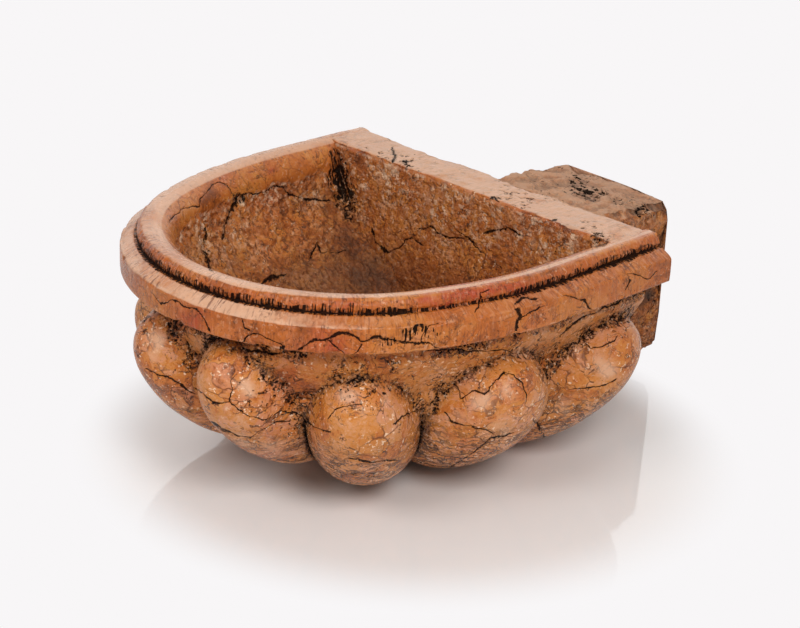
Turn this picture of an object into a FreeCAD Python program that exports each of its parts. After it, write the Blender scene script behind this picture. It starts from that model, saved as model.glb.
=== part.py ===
import FreeCAD, Part
import math
import os

os.makedirs("parts", exist_ok=True)

# A wall stoup carved from one block of stone, modelled as its carved members.
# Millimetres. Modelled with +X along the wall, +Y into the wall, the wall's face at Y = 0,
# +Z up and the seat under the bowl at Z = 0. save() then moves the origin under the middle.

# Plan: one D-shaped line, the outer edge of the raised lip, made of straight sides,
# two flank arcs and a nose arc that meet tangentially.
lip_half_width = 184.0
lip_reach = 362.0
straight_side = 116.0
nose_radius = 168.0

# Heights above the seat.
rim_height = 213.0
lip_base = 203.0
band_shelf = 196.0
band_base = 174.0
neck_base = 141.0
shoulder_base = 113.0

# Insets from the lip's line; a negative one stands outside it.
lip_foot = -3.0
band_edge = -16.0
neck_foot = 14.0
shoulder_foot = 32.0

# Neck and shoulder: inset at each height. Under the band are a shallow hollow and a soft
# fillet; the shoulder below them shows as the spandrels between the lobes.
neck_profile = (
    (7.0, band_base),
    (10.0, 165.0),
    (8.0, 153.0),
    (neck_foot, neck_base),
)
shoulder_profile = (
    (neck_foot, neck_base),
    (23.0, 127.0),
    (shoulder_foot, shoulder_base),
)

# Bowl under the shoulder: it draws in faster and faster to the flat seat.
seat_inset = 140.0
bowl_draw = 1.6
bowl_steps = 6

# Hollow: a rolled edge inside the lip, then a basin that curves in to a small flat floor.
back_wall_thickness = 50.0
roll_start_inset = 9.0
roll_width = 21.0
roll_drop = 24.0
basin_floor = 81.0
basin_curve = 77.0
roll_steps = 4
basin_steps = 6

# Lobes: eggs that lean outwards, in mirrored pairs from the front to the wall. Each row is
# the centre's X, Y and Z, the way the lobe faces in degrees from the front, and its width.
egg_length = 190.0
egg_thickness = 96.0
egg_lean = 53.0
lobe_rows = {
    "front": (33.0, -294.0, 91.0, 8.0, 86.0),
    "fore": (85.0, -243.0, 72.0, 40.0, 95.0),
    "side": (115.0, -153.0, 72.0, 76.0, 120.0),
    "wall": (117.0, -52.0, 70.0, 114.0, 114.0),
}

# Tenon: a rough-hewn block that is built into the wall, its root set into the stoup. Each
# row is one station: its Y, left X, right X, top Z, bottom Z and its broken corners' width.
tenon_length = 166.0
tenon_root = 12.0
tenon_rows = (
    (-tenon_root, -72.0, 73.0, 170.0, 16.0, 7.0),
    (0.0, -72.0, 73.0, 170.0, 16.0, 7.0),
    (8.0, -71.0, 72.0, 169.0, 17.0, 8.0),
    (58.0, -74.0, 72.0, 180.0, 13.0, 9.0),
    (118.0, -73.0, 75.0, 179.0, 15.0, 8.0),
    (tenon_length, -72.0, 75.0, 175.0, 20.0, 9.0),
)

# Worked out from the driving dimensions.
nose_centre = lip_reach - nose_radius
centre_drop = nose_centre - straight_side
side_spare = lip_half_width - nose_radius
flank_radius = (lip_half_width ** 2 + centre_drop ** 2 - nose_radius ** 2) / (2 * side_spare)
flank_turn = math.atan2(centre_drop, flank_radius - lip_half_width)
wall_y = (lip_reach - band_edge - tenon_length) / 2
spare = 20.0


def on_arc(centre_x, centre_y, radius, angle, height):
    """Point on a level arc, its angle in radians from +X."""
    return FreeCAD.Vector(
        centre_x + radius * math.cos(angle),
        centre_y + radius * math.sin(angle),
        height,
    )


def plan_wire(inset, height, back):
    """The closed D-shaped outline, moved inwards by inset, with its straight back at Y = back."""
    half = lip_half_width - inset
    flank = flank_radius - inset
    nose = nose_radius - inset
    flank_x = lip_half_width - flank_radius
    left_turn = math.pi - flank_turn
    back_right = FreeCAD.Vector(half, back, height)
    side_right = FreeCAD.Vector(half, -straight_side, height)
    join_right = on_arc(0, -nose_centre, nose, -flank_turn, height)
    join_left = on_arc(0, -nose_centre, nose, -left_turn, height)
    side_left = FreeCAD.Vector(-half, -straight_side, height)
    back_left = FreeCAD.Vector(-half, back, height)
    mid_right = on_arc(flank_x, -straight_side, flank, -flank_turn / 2, height)
    mid_nose = on_arc(0, -nose_centre, nose, -math.pi / 2, height)
    mid_left = on_arc(-flank_x, -straight_side, flank, flank_turn / 2 - math.pi, height)
    return Part.Wire([
        Part.LineSegment(back_right, side_right).toShape(),
        Part.Arc(side_right, mid_right, join_right).toShape(),
        Part.Arc(join_right, mid_nose, join_left).toShape(),
        Part.Arc(join_left, mid_left, side_left).toShape(),
        Part.LineSegment(side_left, back_left).toShape(),
        Part.LineSegment(back_left, back_right).toShape(),
    ])


def stack(sections, ruled=False, back=0.0):
    """Solid through D-shaped sections, given as (inset, height) pairs."""
    wires = [plan_wire(inset, height, back) for inset, height in sections]
    return Part.makeLoft(wires, True, ruled)


def block(low, high):
    """Box between two opposite corners."""
    size = [top - bottom for bottom, top in zip(low, high)]
    return Part.makeBox(*size, FreeCAD.Vector(*low))


def bowl_sections():
    """Sections from the foot of the shoulder down to the seat."""
    sections = []
    for step in range(bowl_steps + 1):
        share = step / bowl_steps
        inset = shoulder_foot + (seat_inset - shoulder_foot) * share ** bowl_draw
        sections.append((inset, shoulder_base * (1 - share)))
    return sections


def roll_sections():
    """Rolled edge inside the lip as bevels on a quarter ellipse, open above the rim."""
    sections = [(roll_start_inset, rim_height + spare)]
    for step in range(roll_steps + 1):
        turn = math.radians(90 * step / roll_steps)
        inset = roll_start_inset + roll_width * math.sin(turn)
        sections.append((inset, rim_height - roll_drop * (1 - math.cos(turn))))
    return sections


def basin_sections():
    """Basin whose width falls as a cosine from the foot of the roll to the floor."""
    throat_half = lip_half_width - roll_start_inset - roll_width
    throat = rim_height - roll_drop
    sections = []
    for step in range(basin_steps + 1):
        share = step / basin_steps
        half = throat_half * math.cos(math.radians(basin_curve * share))
        sections.append((lip_half_width - half, throat + (basin_floor - throat) * share))
    return sections


def hollow():
    """Everything inside the rim and sides, carried back past the wall's face."""
    return stack(roll_sections(), True, spare).fuse(stack(basin_sections(), False, spare))


def member(sections, ruled=False):
    """One level of the carved stone with the hollow taken out."""
    return stack(sections, ruled).cut(hollow()).removeSplitter()


def bowl():
    """Body under the shoulder, round the tenon's root."""
    return member(bowl_sections()).cut(wall_tenon()).removeSplitter()


def back_wall():
    """The flat wall that closes the hollow along the church wall, round the tenon's root."""
    reach = lip_half_width + spare
    slab = block((-reach, -back_wall_thickness, 0), (reach, 0, rim_height))
    return hollow().common(slab).cut(wall_tenon()).removeSplitter()


def egg(centre_x, centre_y, centre_z, facing, width):
    """Ellipsoid whose long axis leans outwards the way the lobe faces."""
    stretch = FreeCAD.Matrix()
    stretch.scale(width / 2, egg_thickness / 2, egg_length / 2)
    solid = Part.makeSphere(1.0).transformGeometry(stretch)
    lean = FreeCAD.Rotation(FreeCAD.Vector(1, 0, 0), egg_lean)
    turn = FreeCAD.Rotation(FreeCAD.Vector(0, 0, 1), facing)
    solid.Placement = FreeCAD.Placement(FreeCAD.Vector(centre_x, centre_y, centre_z), turn.multiply(lean))
    return solid


def right_lobes():
    """The lobes of the right half, each cut back where its neighbour or the bowl already is."""
    reach = lip_reach + spare
    right_half = block((0, -reach, 0), (reach, 0, rim_height))
    taken = [stack(neck_profile), stack(shoulder_profile), stack(bowl_sections())]
    lobes = {}
    for name, row in lobe_rows.items():
        whole = egg(*row)
        lobe = whole.common(right_half)
        for neighbour in taken:
            lobe = lobe.cut(neighbour)
        lobes[name] = lobe
        taken.append(whole)
    return lobes


def mirrored(shape):
    """The same member on the other side of the middle."""
    return shape.mirror(FreeCAD.Vector(0, 0, 0), FreeCAD.Vector(1, 0, 0))


def tenon_wire(y, left, right, top, bottom, broken):
    """Eight-cornered section of the hewn block, with its corners broken off."""
    corners = [
        (left + broken, top),
        (right - broken, top),
        (right, top - broken),
        (right, bottom + broken),
        (right - broken, bottom),
        (left + broken, bottom),
        (left, bottom + broken),
        (left, top - broken),
    ]
    points = [FreeCAD.Vector(x, y, z) for x, z in corners]
    return Part.makePolygon(points + points[:1])


def wall_tenon():
    """Rough block behind the stoup, with its root."""
    return Part.makeLoft([tenon_wire(*row) for row in tenon_rows], True, True)


def save(name, shape):
    """Writes one member with the origin under the middle of the whole stoup."""
    placed = shape.copy()
    placed.translate(FreeCAD.Vector(0, wall_y, 0))
    placed.exportStep("parts/" + name + ".step")
    print(name, len(placed.Solids), placed.isValid(), round(placed.Volume / 1000, 1), "cm3")


lip_sections = [(0.0, rim_height), (lip_foot, lip_base)]
band_sections = [(lip_foot, lip_base), (band_edge, band_shelf), (band_edge, band_base)]
save("rim_lip", member(lip_sections, True))
save("rim_band", member(band_sections, True))
save("neck", member(neck_profile))
save("shoulder", member(shoulder_profile))
save("bowl", bowl())
save("back_wall", back_wall())
save("wall_tenon", wall_tenon())
for place, lobe in right_lobes().items():
    save("lobe_" + place + "_right", lobe)
    save("lobe_" + place + "_left", mirrored(lobe))
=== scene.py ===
"""Wall stoup carved from one block of red nodular marble, dressed as finished stone.

Lengths are millimetres in the stone's own frame until a mesh is made, which is in metres.
The stone is swept along a D-shaped plan line: "along" is the distance on that line from the
middle of the front, positive to the right, and "inset" is the distance inwards from it.
"""

import math

import bpy
import numpy as np
from bpy.props import FloatProperty, FloatVectorProperty, PointerProperty
from mathutils import Matrix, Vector
from mathutils.geometry import delaunay_2d_cdt


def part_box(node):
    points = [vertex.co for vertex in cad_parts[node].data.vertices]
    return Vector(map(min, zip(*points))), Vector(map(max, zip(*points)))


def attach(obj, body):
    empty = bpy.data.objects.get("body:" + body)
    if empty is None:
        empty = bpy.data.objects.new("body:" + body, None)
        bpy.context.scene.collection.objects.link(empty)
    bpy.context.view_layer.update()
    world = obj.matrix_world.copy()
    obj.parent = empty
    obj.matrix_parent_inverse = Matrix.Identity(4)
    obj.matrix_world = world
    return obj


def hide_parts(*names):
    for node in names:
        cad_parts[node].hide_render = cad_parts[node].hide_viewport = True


bl_info = {
    "name": "Carved Wall Stoup",
    "version": (1, 0, 0),
    "blender": (4, 5, 0),
    "location": "3D View > Sidebar > Stoup",
    "description": "Builds the carved marble of a wall stoup on its solid model",
    "category": "Object",
}

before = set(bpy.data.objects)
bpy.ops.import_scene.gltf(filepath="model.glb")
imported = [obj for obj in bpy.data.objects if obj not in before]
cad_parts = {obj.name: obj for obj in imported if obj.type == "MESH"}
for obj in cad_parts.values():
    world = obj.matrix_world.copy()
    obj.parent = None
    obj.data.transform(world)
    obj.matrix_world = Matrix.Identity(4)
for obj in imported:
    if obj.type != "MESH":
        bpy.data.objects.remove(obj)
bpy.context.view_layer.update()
MM = 0.001


def node_box(node):
    """A solid's lowest and highest corners in millimetres."""
    low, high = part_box(node)
    return np.array(low) / MM, np.array(high) / MM


# Plan: the outer edge of the raised lip, in three tangent arcs and two straight sides.
LIP_LOW, LIP_HIGH = node_box("rim_lip")
BAND_LOW, BAND_HIGH = node_box("rim_band")
WALL_Y = BAND_HIGH[1]
LIP_HALF_WIDTH = 184.0
LIP_REACH = 362.0
STRAIGHT_SIDE = 116.0
NOSE_RADIUS = 168.0
NOSE_CENTRE = LIP_REACH - NOSE_RADIUS
CENTRE_DROP = NOSE_CENTRE - STRAIGHT_SIDE
SIDE_SPARE = LIP_HALF_WIDTH - NOSE_RADIUS
FLANK_RADIUS = (LIP_HALF_WIDTH ** 2 + CENTRE_DROP ** 2 - NOSE_RADIUS ** 2) / (2 * SIDE_SPARE)
FLANK_TURN = math.atan2(CENTRE_DROP, FLANK_RADIUS - LIP_HALF_WIDTH)
FLANK_X = LIP_HALF_WIDTH - FLANK_RADIUS
NOSE_TURN = math.pi / 2 - FLANK_TURN
NOSE_RUN = NOSE_RADIUS * NOSE_TURN
SIDE_RUN = NOSE_RUN + FLANK_RADIUS * FLANK_TURN
WHOLE_RUN = SIDE_RUN + STRAIGHT_SIDE

# Heights, read from the solids.
RIM_HEIGHT = LIP_HIGH[2]
LIP_BASE = LIP_LOW[2]
BAND_BASE = BAND_LOW[2]
NECK_BASE = node_box("neck")[0][2]
SHOULDER_BASE = node_box("shoulder")[0][2]
FLOOR_HEIGHT = node_box("back_wall")[0][2]
BAND_SHELF = 196.0
STONE_LOW = np.array([BAND_LOW[0], BAND_LOW[1], 0.0])
STONE_HIGH = np.array([BAND_HIGH[0], WALL_Y, RIM_HEIGHT])

# Insets of the profile's corners.
LIP_FOOT = -3.0
LIP_ROUND = 5.5
BAND_EDGE = -16.0
NECK_FOOT = 14.0
SHOULDER_FOOT = 32.0
NECK_TOP = 7.0
NECK_CORNERS = (
    (NECK_TOP, BAND_BASE), (10.0, 165.0), (8.0, 153.0), (NECK_FOOT, NECK_BASE), (23.0, 127.0),
    (SHOULDER_FOOT, SHOULDER_BASE),
)
BAND_ROUND = 2.2
BEND_STEPS = 6
SEAT_INSET = 140.0
BOWL_DRAW = 1.6
ROLL_START = 9.0
ROLL_WIDTH = 21.0
ROLL_DROP = 24.0
BASIN_CURVE = 77.0
WALL_THICK = 50.0

# Lobes on the right: centre X, Y and Z, the way each faces in degrees from the front, width.
EGG_LENGTH = 190.0
EGG_THICKNESS = 96.0
EGG_LEAN = math.radians(53.0)
LOBE_ROWS = {
    "front": (33.0, -294.0, 91.0, 8.0, 86.0),
    "fore": (85.0, -243.0, 72.0, 40.0, 95.0),
    "side": (115.0, -153.0, 72.0, 76.0, 120.0),
    "wall": (117.0, -52.0, 70.0, 114.0, 114.0),
}

# Tenon stations: Y from the wall, left X, right X, top Z, bottom Z and broken corner.
TENON_ROWS = (
    (0.0, -72.0, 73.0, 170.0, 16.0, 7.0),
    (8.0, -71.0, 72.0, 169.0, 17.0, 8.0),
    (58.0, -74.0, 72.0, 180.0, 13.0, 9.0),
    (118.0, -73.0, 75.0, 179.0, 15.0, 8.0),
    (166.0, -72.0, 75.0, 175.0, 20.0, 9.0),
)

# Camera: where it stands, how it is tilted, and the picture that it frames.
CAMERA_AZIMUTH = math.radians(44.006)
CAMERA_ELEVATION = math.radians(23.119)
CAMERA_ROLL = math.radians(2.989)
CAMERA_TARGET = np.array([169.96, -188.05, RIM_HEIGHT])
CAMERA_DISTANCE = 1412.6
PICTURE = (800.0, 628.0)
PICTURE_FOCUS = 1900.0
SENSOR_WIDTH = 36.0

# Cracks as the camera sees them, in picture points, and how wide each one is.
HOLLOW_CRACKS = (
    (1.2, ((235, 195), (240, 195), (252, 194), (265, 193), (275, 187), (283, 188), (290, 195),
           (305, 199), (330, 200))),
    (2.0, ((240, 195), (237, 201), (228, 220), (226, 230), (223, 239))),
    (2.2, ((206, 226), (208, 235), (205, 247), (209, 258), (211, 268))),
    (0.6, ((170, 222), (173, 216), (182, 210), (191, 206), (200, 207), (201, 198), (208, 190),
           (218, 182), (227, 185), (237, 196))),
    (1.6, ((263, 282), (268, 277), (276, 277), (284, 275))),
    (0.9, ((312, 255), (318, 240), (322, 252), (345, 250))),
)
WALL_CRACKS = (
    (1.3, ((370, 229), (376, 243), (388, 252), (399, 249), (404, 240), (411, 238), (420, 245))),
    (1.0, ((418, 229), (430, 227), (437, 234), (450, 238), (460, 237), (474, 243))),
    (1.2, ((484, 233), (497, 229), (507, 228), (513, 232), (519, 236))),
    (0.7, ((455, 229), (470, 240), (480, 252), (500, 268))),
    (0.8, ((360, 202), (352, 203), (345, 208))),
)
WALL_TOP_CRACKS = (
    (1.6, ((393, 149), (395, 156), (389, 164))),
    (1.2, ((403, 160), (410, 159))),
    (0.9, ((488, 198), (495, 196), (512, 214), (545, 219), (556, 218))),
)
LIP_CRACKS = (
    (0.9, ((475, 310), (483, 300), (480, 293), (489, 291))),
    (1.2, ((517, 303), (521, 299), (536, 297))),
)
BAND_CRACKS = (
    (1.5, ((297, 351), (304, 346), (313, 341), (321, 341), (328, 340), (336, 335), (346, 334),
           (355, 338), (362, 343), (370, 340), (375, 337), (385, 338), (400, 341), (414, 344),
           (430, 344), (440, 349))),
    (1.0, ((328, 341), (332, 346), (340, 351), (347, 357))),
    (0.8, ((242, 342), (246, 336), (252, 334), (262, 336), (273, 341), (281, 345))),
    (1.7, ((512, 303), (519, 310), (521, 318), (518, 326), (518, 334))),
    (0.9, ((521, 321), (530, 314), (541, 307))),
    (0.9, ((550, 291), (565, 294), (578, 300), (585, 301), (592, 310))),
    (1.0, ((154, 296), (163, 305), (172, 300), (181, 306), (195, 309), (203, 318), (209, 330))),
    (0.7, ((450, 312), (438, 322), (430, 327), (424, 333), (422, 342))),
    (0.6, ((626, 290), (631, 281), (630, 274), (640, 276), (650, 279), (657, 272))),
    (0.7, ((347, 357), (356, 352), (362, 346))),
    (0.8, ((240, 320), (243, 327), (248, 330))),
)
NECK_CRACKS = (
    (1.4, ((210, 340), (230, 344), (250, 350), (265, 352), (282, 353))),
    (0.9, ((560, 338), (568, 328), (580, 319), (592, 314), (610, 306), (628, 295))),
    (0.7, ((425, 350), (460, 350), (480, 352), (505, 349), (520, 356))),
)
LOBE_CRACKS = (
    (0.9, ((197, 388), (205, 396), (213, 403), (222, 404), (230, 401), (238, 409), (248, 416),
           (262, 420), (272, 416), (283, 411), (295, 412), (305, 420), (318, 430), (330, 432))),
    (0.6, ((228, 402), (231, 392), (231, 380), (236, 374))),
    (0.8, ((212, 422), (225, 430), (238, 436), (250, 438), (258, 432), (272, 424), (290, 420))),
    (0.9, ((146, 369), (160, 376), (172, 379), (184, 388), (194, 394))),
    (0.7, ((330, 418), (336, 410), (350, 406), (362, 404))),
    (0.8, ((349, 459), (372, 462), (396, 460))),
    (1.0, ((447, 470), (463, 460), (478, 449), (490, 440), (505, 436), (515, 432))),
    (0.7, ((489, 391), (496, 381), (504, 373), (514, 374), (522, 383), (527, 395), (526, 403))),
    (0.7, ((444, 413), (450, 422), (462, 426), (476, 427))),
    (0.8, ((451, 382), (458, 388), (460, 398), (472, 392), (484, 393), (490, 390))),
    (0.6, ((472, 428), (484, 429), (492, 434))),
    (1.0, ((534, 420), (540, 430), (545, 438))),
    (0.6, ((585, 342), (592, 349), (603, 347), (612, 341), (617, 336))),
    (0.7, ((574, 389), (590, 388), (605, 385), (615, 379))),
    (0.8, ((394, 425), (402, 416), (418, 409), (430, 402), (440, 401))),
)

# Black dirt in the hollow, rim, band, neck and tenon: picture point, radius and strength.
HOLLOW_DIRT = (
    (338, 160, 8, 1.0), (342, 184, 10, 1.0), (347, 204, 8, 1.0), (351, 216, 6, 0.9),
    (340, 172, 7, 1.0), (345, 194, 7, 1.0), (240, 200, 5, 0.6), (210, 252, 5, 0.7),
    (392, 200, 9, 0.3), (598, 238, 7, 0.9), (405, 160, 4, 0.8), (560, 245, 12, 0.35),
)
RIM_DIRT = (
    (140, 240, 16, 0.7), (150, 258, 14, 0.9), (170, 273, 16, 0.9), (190, 283, 14, 0.8),
    (215, 292, 14, 0.8), (242, 300, 14, 0.9), (268, 305, 14, 1.0), (296, 308, 14, 1.0),
    (322, 309, 13, 1.0), (345, 311, 9, 0.9), (368, 312, 9, 0.7), (388, 312, 12, 0.9),
    (410, 310, 8, 0.5), (352, 303, 4, 1.2), (520, 296, 11, 0.9), (538, 291, 14, 1.0),
    (558, 285, 14, 1.0), (582, 277, 14, 1.0), (605, 270, 15, 1.1), (625, 262, 15, 1.1),
    (645, 253, 14, 1.1), (512, 304, 8, 0.9), (520, 312, 5, 0.7),
)
BAND_DIRT = (
    (376, 338, 7, 0.45), (388, 342, 8, 0.5), (402, 338, 9, 0.5), (416, 335, 9, 0.55),
    (430, 334, 8, 0.6), (420, 326, 6, 0.5), (300, 330, 4, 0.4), (207, 314, 5, 0.6),
    (440, 340, 5, 0.6), (590, 300, 6, 0.3), (282, 348, 4, 0.8),
)
NECK_DIRT = (
    (173, 338, 8, 0.9), (186, 364, 8, 0.9), (204, 357, 7, 0.8), (262, 376, 6, 0.9),
    (275, 388, 6, 0.9), (290, 399, 6, 1.0), (340, 366, 9, 0.8), (360, 362, 9, 0.8),
    (395, 366, 8, 0.9), (335, 377, 7, 0.6), (360, 379, 6, 0.7), (310, 392, 5, 0.6),
    (419, 402, 9, 0.8), (440, 388, 9, 0.8), (455, 378, 7, 0.6), (540, 362, 9, 0.8),
    (560, 350, 10, 1.0), (585, 332, 9, 0.9), (610, 320, 10, 0.9), (632, 312, 9, 0.9),
    (545, 380, 8, 0.9), (425, 430, 8, 0.5), (300, 425, 8, 0.6), (315, 450, 8, 0.5),
)
TENON_DIRT = (
    (577, 184, 8, 1.0), (590, 189, 8, 1.0), (602, 193, 7, 0.8), (620, 201, 8, 0.6),
    (645, 207, 8, 0.7), (527, 168, 6, 0.4), (652, 214, 6, 0.6), (655, 300, 6, 0.5),
)

# Painted shade in grey-brown, low in the hollow beside its corner with the back wall.
HOLLOW_SHADE = (
    (362, 262, 24, 0.55), (376, 280, 22, 0.7), (345, 232, 20, 0.5), (330, 278, 30, 0.4),
    (300, 190, 18, 0.35), (328, 205, 14, 0.4), (290, 275, 20, 0.3), (238, 262, 14, 0.3),
)

# Painted highlights and sheen on the stone: picture point, radius and strength.
PAINTED_HIGHLIGHTS = (
    (246, 386, 9, 0.8), (250, 396, 7, 0.3), (347, 396, 10, 0.8), (387, 404, 8, 0.5),
    (362, 412, 7, 0.3), (224, 340, 9, 0.5), (157, 338, 10, 0.7), (150, 352, 8, 0.4),
    (275, 350, 8, 0.3), (481, 399, 13, 0.8), (505, 386, 11, 0.6), (462, 420, 12, 0.45),
    (500, 425, 12, 0.4), (604, 369, 11, 0.8), (638, 352, 7, 0.5), (598, 352, 9, 0.4),
    (340, 440, 14, 0.3), (385, 466, 16, 0.4), (290, 462, 14, 0.35), (160, 395, 12, 0.3),
    (445, 440, 12, 0.3), (560, 405, 14, 0.3), (216, 208, 8, 0.5), (155, 310, 6, 0.4),
    (452, 322, 6, 0.3), (190, 300, 8, 0.3), (340, 295, 8, 0.3), (130, 268, 8, 0.8),
    (138, 282, 7, 0.7), (146, 292, 6, 0.5), (240, 440, 12, 0.4), (270, 450, 14, 0.45),
    (310, 462, 10, 0.3), (330, 296, 10, 0.4), (380, 297, 10, 0.35),
)

# Redder patches of the stone: picture point, radius and strength.
RED_PATCHES = (
    (268, 168, 7, 1.0), (222, 178, 9, 0.5), (195, 321, 14, 1.0), (425, 298, 9, 0.7),
    (445, 296, 12, 1.0), (468, 293, 12, 1.1), (492, 289, 12, 1.1), (515, 284, 11, 0.8),
    (290, 370, 20, 0.7), (330, 345, 16, 1.0), (345, 300, 12, 0.7), (475, 398, 20, 0.3),
    (275, 430, 22, 0.5), (345, 392, 14, 0.3), (380, 395, 16, 0.4), (245, 400, 10, 0.3),
    (560, 365, 20, 0.3), (600, 360, 14, 0.3),
)


def smooth_step(low, high, value):
    """0 below low, 1 above high, and a soft rise between them."""
    share = np.clip((value - low) / (high - low), 0.0, 1.0)
    return share * share * (3 - 2 * share)


def bump_at(value, centre, width):
    """Bell of height 1 round a centre."""
    return np.exp(-((value - centre) / width) ** 2)


# Noise: cells of its table, an offset that keeps places off 0, and how much weaker and how far
# away each finer layer is read.
NOISE_CELLS = 64
NOISE_OFFSET = 1000.5
LAYER_WEIGHT = 0.55
LAYER_SHIFT = 3.7
NOISE_TABLE = np.random.default_rng(17).random((NOISE_CELLS,) * 3).astype(np.float32) * 2 - 1


def noise(points, size, shift=0.0):
    """Smooth noise from -1 to 1 whose lumps are about size millimetres across."""
    place = points / np.float32(size) + np.float32(shift + NOISE_OFFSET)
    corner = np.floor(place).astype(np.int32)
    part = (place - corner).astype(np.float32)
    part = part * part * (3 - 2 * part)
    near = corner % NOISE_CELLS
    far = (corner + 1) % NOISE_CELLS
    total = 0.0
    for pick in range(8):
        steps = [(pick >> axis) & 1 for axis in range(3)]
        cell = [(far if step else near)[:, axis] for axis, step in enumerate(steps)]
        weight = 1.0
        for axis, step in enumerate(steps):
            weight = weight * (part[:, axis] if step else 1 - part[:, axis])
        total = total + NOISE_TABLE[cell[0], cell[1], cell[2]] * weight
    return total


def layered(points, size, layers, shift=0.0):
    """Noise with finer and weaker layers on it, about -1 to 1."""
    total = 0.0
    weight = 1.0
    for layer in range(layers):
        total = total + weight * noise(points, size / 2 ** layer, shift + LAYER_SHIFT * layer)
        weight *= LAYER_WEIGHT
    return total


def ridged(points, size, layers, shift=0.0):
    """Sharp ridges between smooth dips, 0 to about 1."""
    total = 0.0
    weight = 0.6
    for layer in range(layers):
        total = total + weight * (1 - np.abs(noise(points, size / 2 ** layer, shift + layer)))
        weight *= 0.5
    return total


# Patterns of the stone: size of the lumps in millimetres, layers, and where the noise is read.
PATTERNS = {
    "swell": (46.0, 2, 2.0), "wear_and_sheen": (12.0, 3, 93.0), "soot": (5.0, 3, 16.0),
    "pits": (4.2, 1, 31.0), "under_band_shade": (21.0, 3, 14.0), "spalls": (13.0, 3, 8.0),
    "peck_ground": (9.0, 4, 4.0), "peck_line": (17.0, 3, 7.0), "pecks": (3.4, 1, 91.0),
    "lobe_swell": (38.0, 2, 21.0), "lobe_dents": (9.0, 2, 22.0), "lobe_wear": (30.0, 2, 24.0),
    "specks": (2.6, 1, 33.0), "speck_swarms": (30.0, 1, 34.0),
    "wall_pits": (3.4, 1, 47.0), "wall_swarms": (24.0, 1, 48.0), "wall_dents": (11.0, 3, 49.0),
    "arris_breaks": (15.0, 3, 43.0), "arris_crumbs": (6.0, 2, 50.0), "arris_sheen": (9.0, 2, 46.0),
    "rear_arris": (26.0, 3, 44.0), "wall_sheen": (9.0, 3, 58.0), "rear": (14.0, 3, 6.0),
    "seat": (12.0, 3, 18.0), "hewn": (5.0, 3, 51.0), "tenon_taper": (16.0, 2, 53.0),
    "tenon_end": (12.0, 2, 54.0), "tenon_soot": (24.0, 3, 55.0), "stray": (11.0, 1, 85.0),
}

# Chisel marks: how much they are drawn out along the cut, their spacing, and where they are read.
TOOL_MARKS = {
    "strokes": (0.14, 3.1, 3.0), "fine": (0.2, 1.9, 9.0), "comb": (0.3, 4.2, 13.0),
    "wall": (0.2, 3.6, 40.0),
}


def pattern(name, points):
    """One of the stone's noise patterns at some points, about -1 to 1."""
    return layered(points, *PATTERNS[name])


def tool_marks(name, along, run):
    """Noise drawn out along the cut of a chisel, -1 to 1."""
    drawn, spacing, shift = TOOL_MARKS[name]
    return noise(np.stack([along, run * drawn, np.zeros_like(run)], -1), spacing, shift)


def plan_frame(along):
    """Points of the plan line and its outward normals, at distances along it."""
    side = np.where(along < 0, -1.0, 1.0)
    run = np.abs(along)
    flank_run = np.clip(run - NOSE_RUN, 0, SIDE_RUN - NOSE_RUN)
    turn = np.minimum(run, NOSE_RUN) / NOSE_RADIUS + flank_run / FLANK_RADIUS
    out_x, out_y = np.sin(turn), -np.cos(turn)
    on_nose = run < NOSE_RUN
    radius = np.where(on_nose, NOSE_RADIUS, FLANK_RADIUS)
    x = np.where(on_nose, 0.0, FLANK_X) + radius * out_x
    y = np.where(on_nose, -NOSE_CENTRE, -STRAIGHT_SIDE) + radius * out_y
    y = y + np.maximum(run - SIDE_RUN, 0) + WALL_Y
    return side * x, y, side * out_x, out_y


def plan_inset(points):
    """Inset of any points from the plan line, and the outward direction there."""
    x = np.abs(points[:, 0])
    y = points[:, 1] - WALL_Y
    on_nose = np.arctan2(x, -(y + NOSE_CENTRE)) < NOSE_TURN
    straight = y > -STRAIGHT_SIDE
    gap_x = np.where(on_nose, x, x - FLANK_X)
    gap_y = np.where(on_nose, y + NOSE_CENTRE, y + STRAIGHT_SIDE)
    away = np.maximum(np.hypot(gap_x, gap_y), 1e-6)
    radius = np.where(on_nose, NOSE_RADIUS, FLANK_RADIUS)
    inset = np.where(straight, LIP_HALF_WIDTH - x, radius - away)
    out_x = np.where(straight, 1.0, gap_x / away) * np.where(points[:, 0] < 0, -1, 1)
    out_y = np.where(straight, 0.0, gap_y / away)
    return inset, out_x, out_y


def distances(line):
    """Distance along a line to each of its points."""
    return np.concatenate([[0], np.cumsum(np.hypot(*np.diff(line, axis=0).T))])


def square_to(line):
    """Unit direction square to a line at each of its points."""
    step = np.gradient(line, axis=0)
    length = np.hypot(*step.T)
    return step[:, 1] / length, -step[:, 0] / length


def evenly(points, spacing):
    """The same line with evenly spaced points, both ends kept."""
    points = np.array(points, float)
    places = distances(points)
    wanted = np.linspace(0, places[-1], max(2, round(places[-1] / spacing) + 1))
    return np.stack([np.interp(wanted, places, points[:, k]) for k in (0, 1)], -1)


def rounded(corners):
    """Line through (inset, height, radius) corners, each eased by a small bend."""
    line = [corners[0][:2]]
    for before, corner, after in zip(corners, corners[1:], corners[2:]):
        here = np.array(corner[:2])
        back = np.array(before[:2]) - here
        on = np.array(after[:2]) - here
        start = here + back / np.hypot(*back) * corner[2]
        end = here + on / np.hypot(*on) * corner[2]
        for share in np.linspace(0, 1, BEND_STEPS):
            left = 1 - share
            line.append(left ** 2 * start + 2 * share * left * here + share ** 2 * end)
    line.append(corners[-1][:2])
    return line


def basin_inset(height):
    """Inset of the hollow's side below the roll."""
    throat = RIM_HEIGHT - ROLL_DROP
    share = (throat - height) / (throat - FLOOR_HEIGHT)
    throat_half = LIP_HALF_WIDTH - ROLL_START - ROLL_WIDTH
    return LIP_HALF_WIDTH - throat_half * np.cos(np.radians(BASIN_CURVE) * share)


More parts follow.
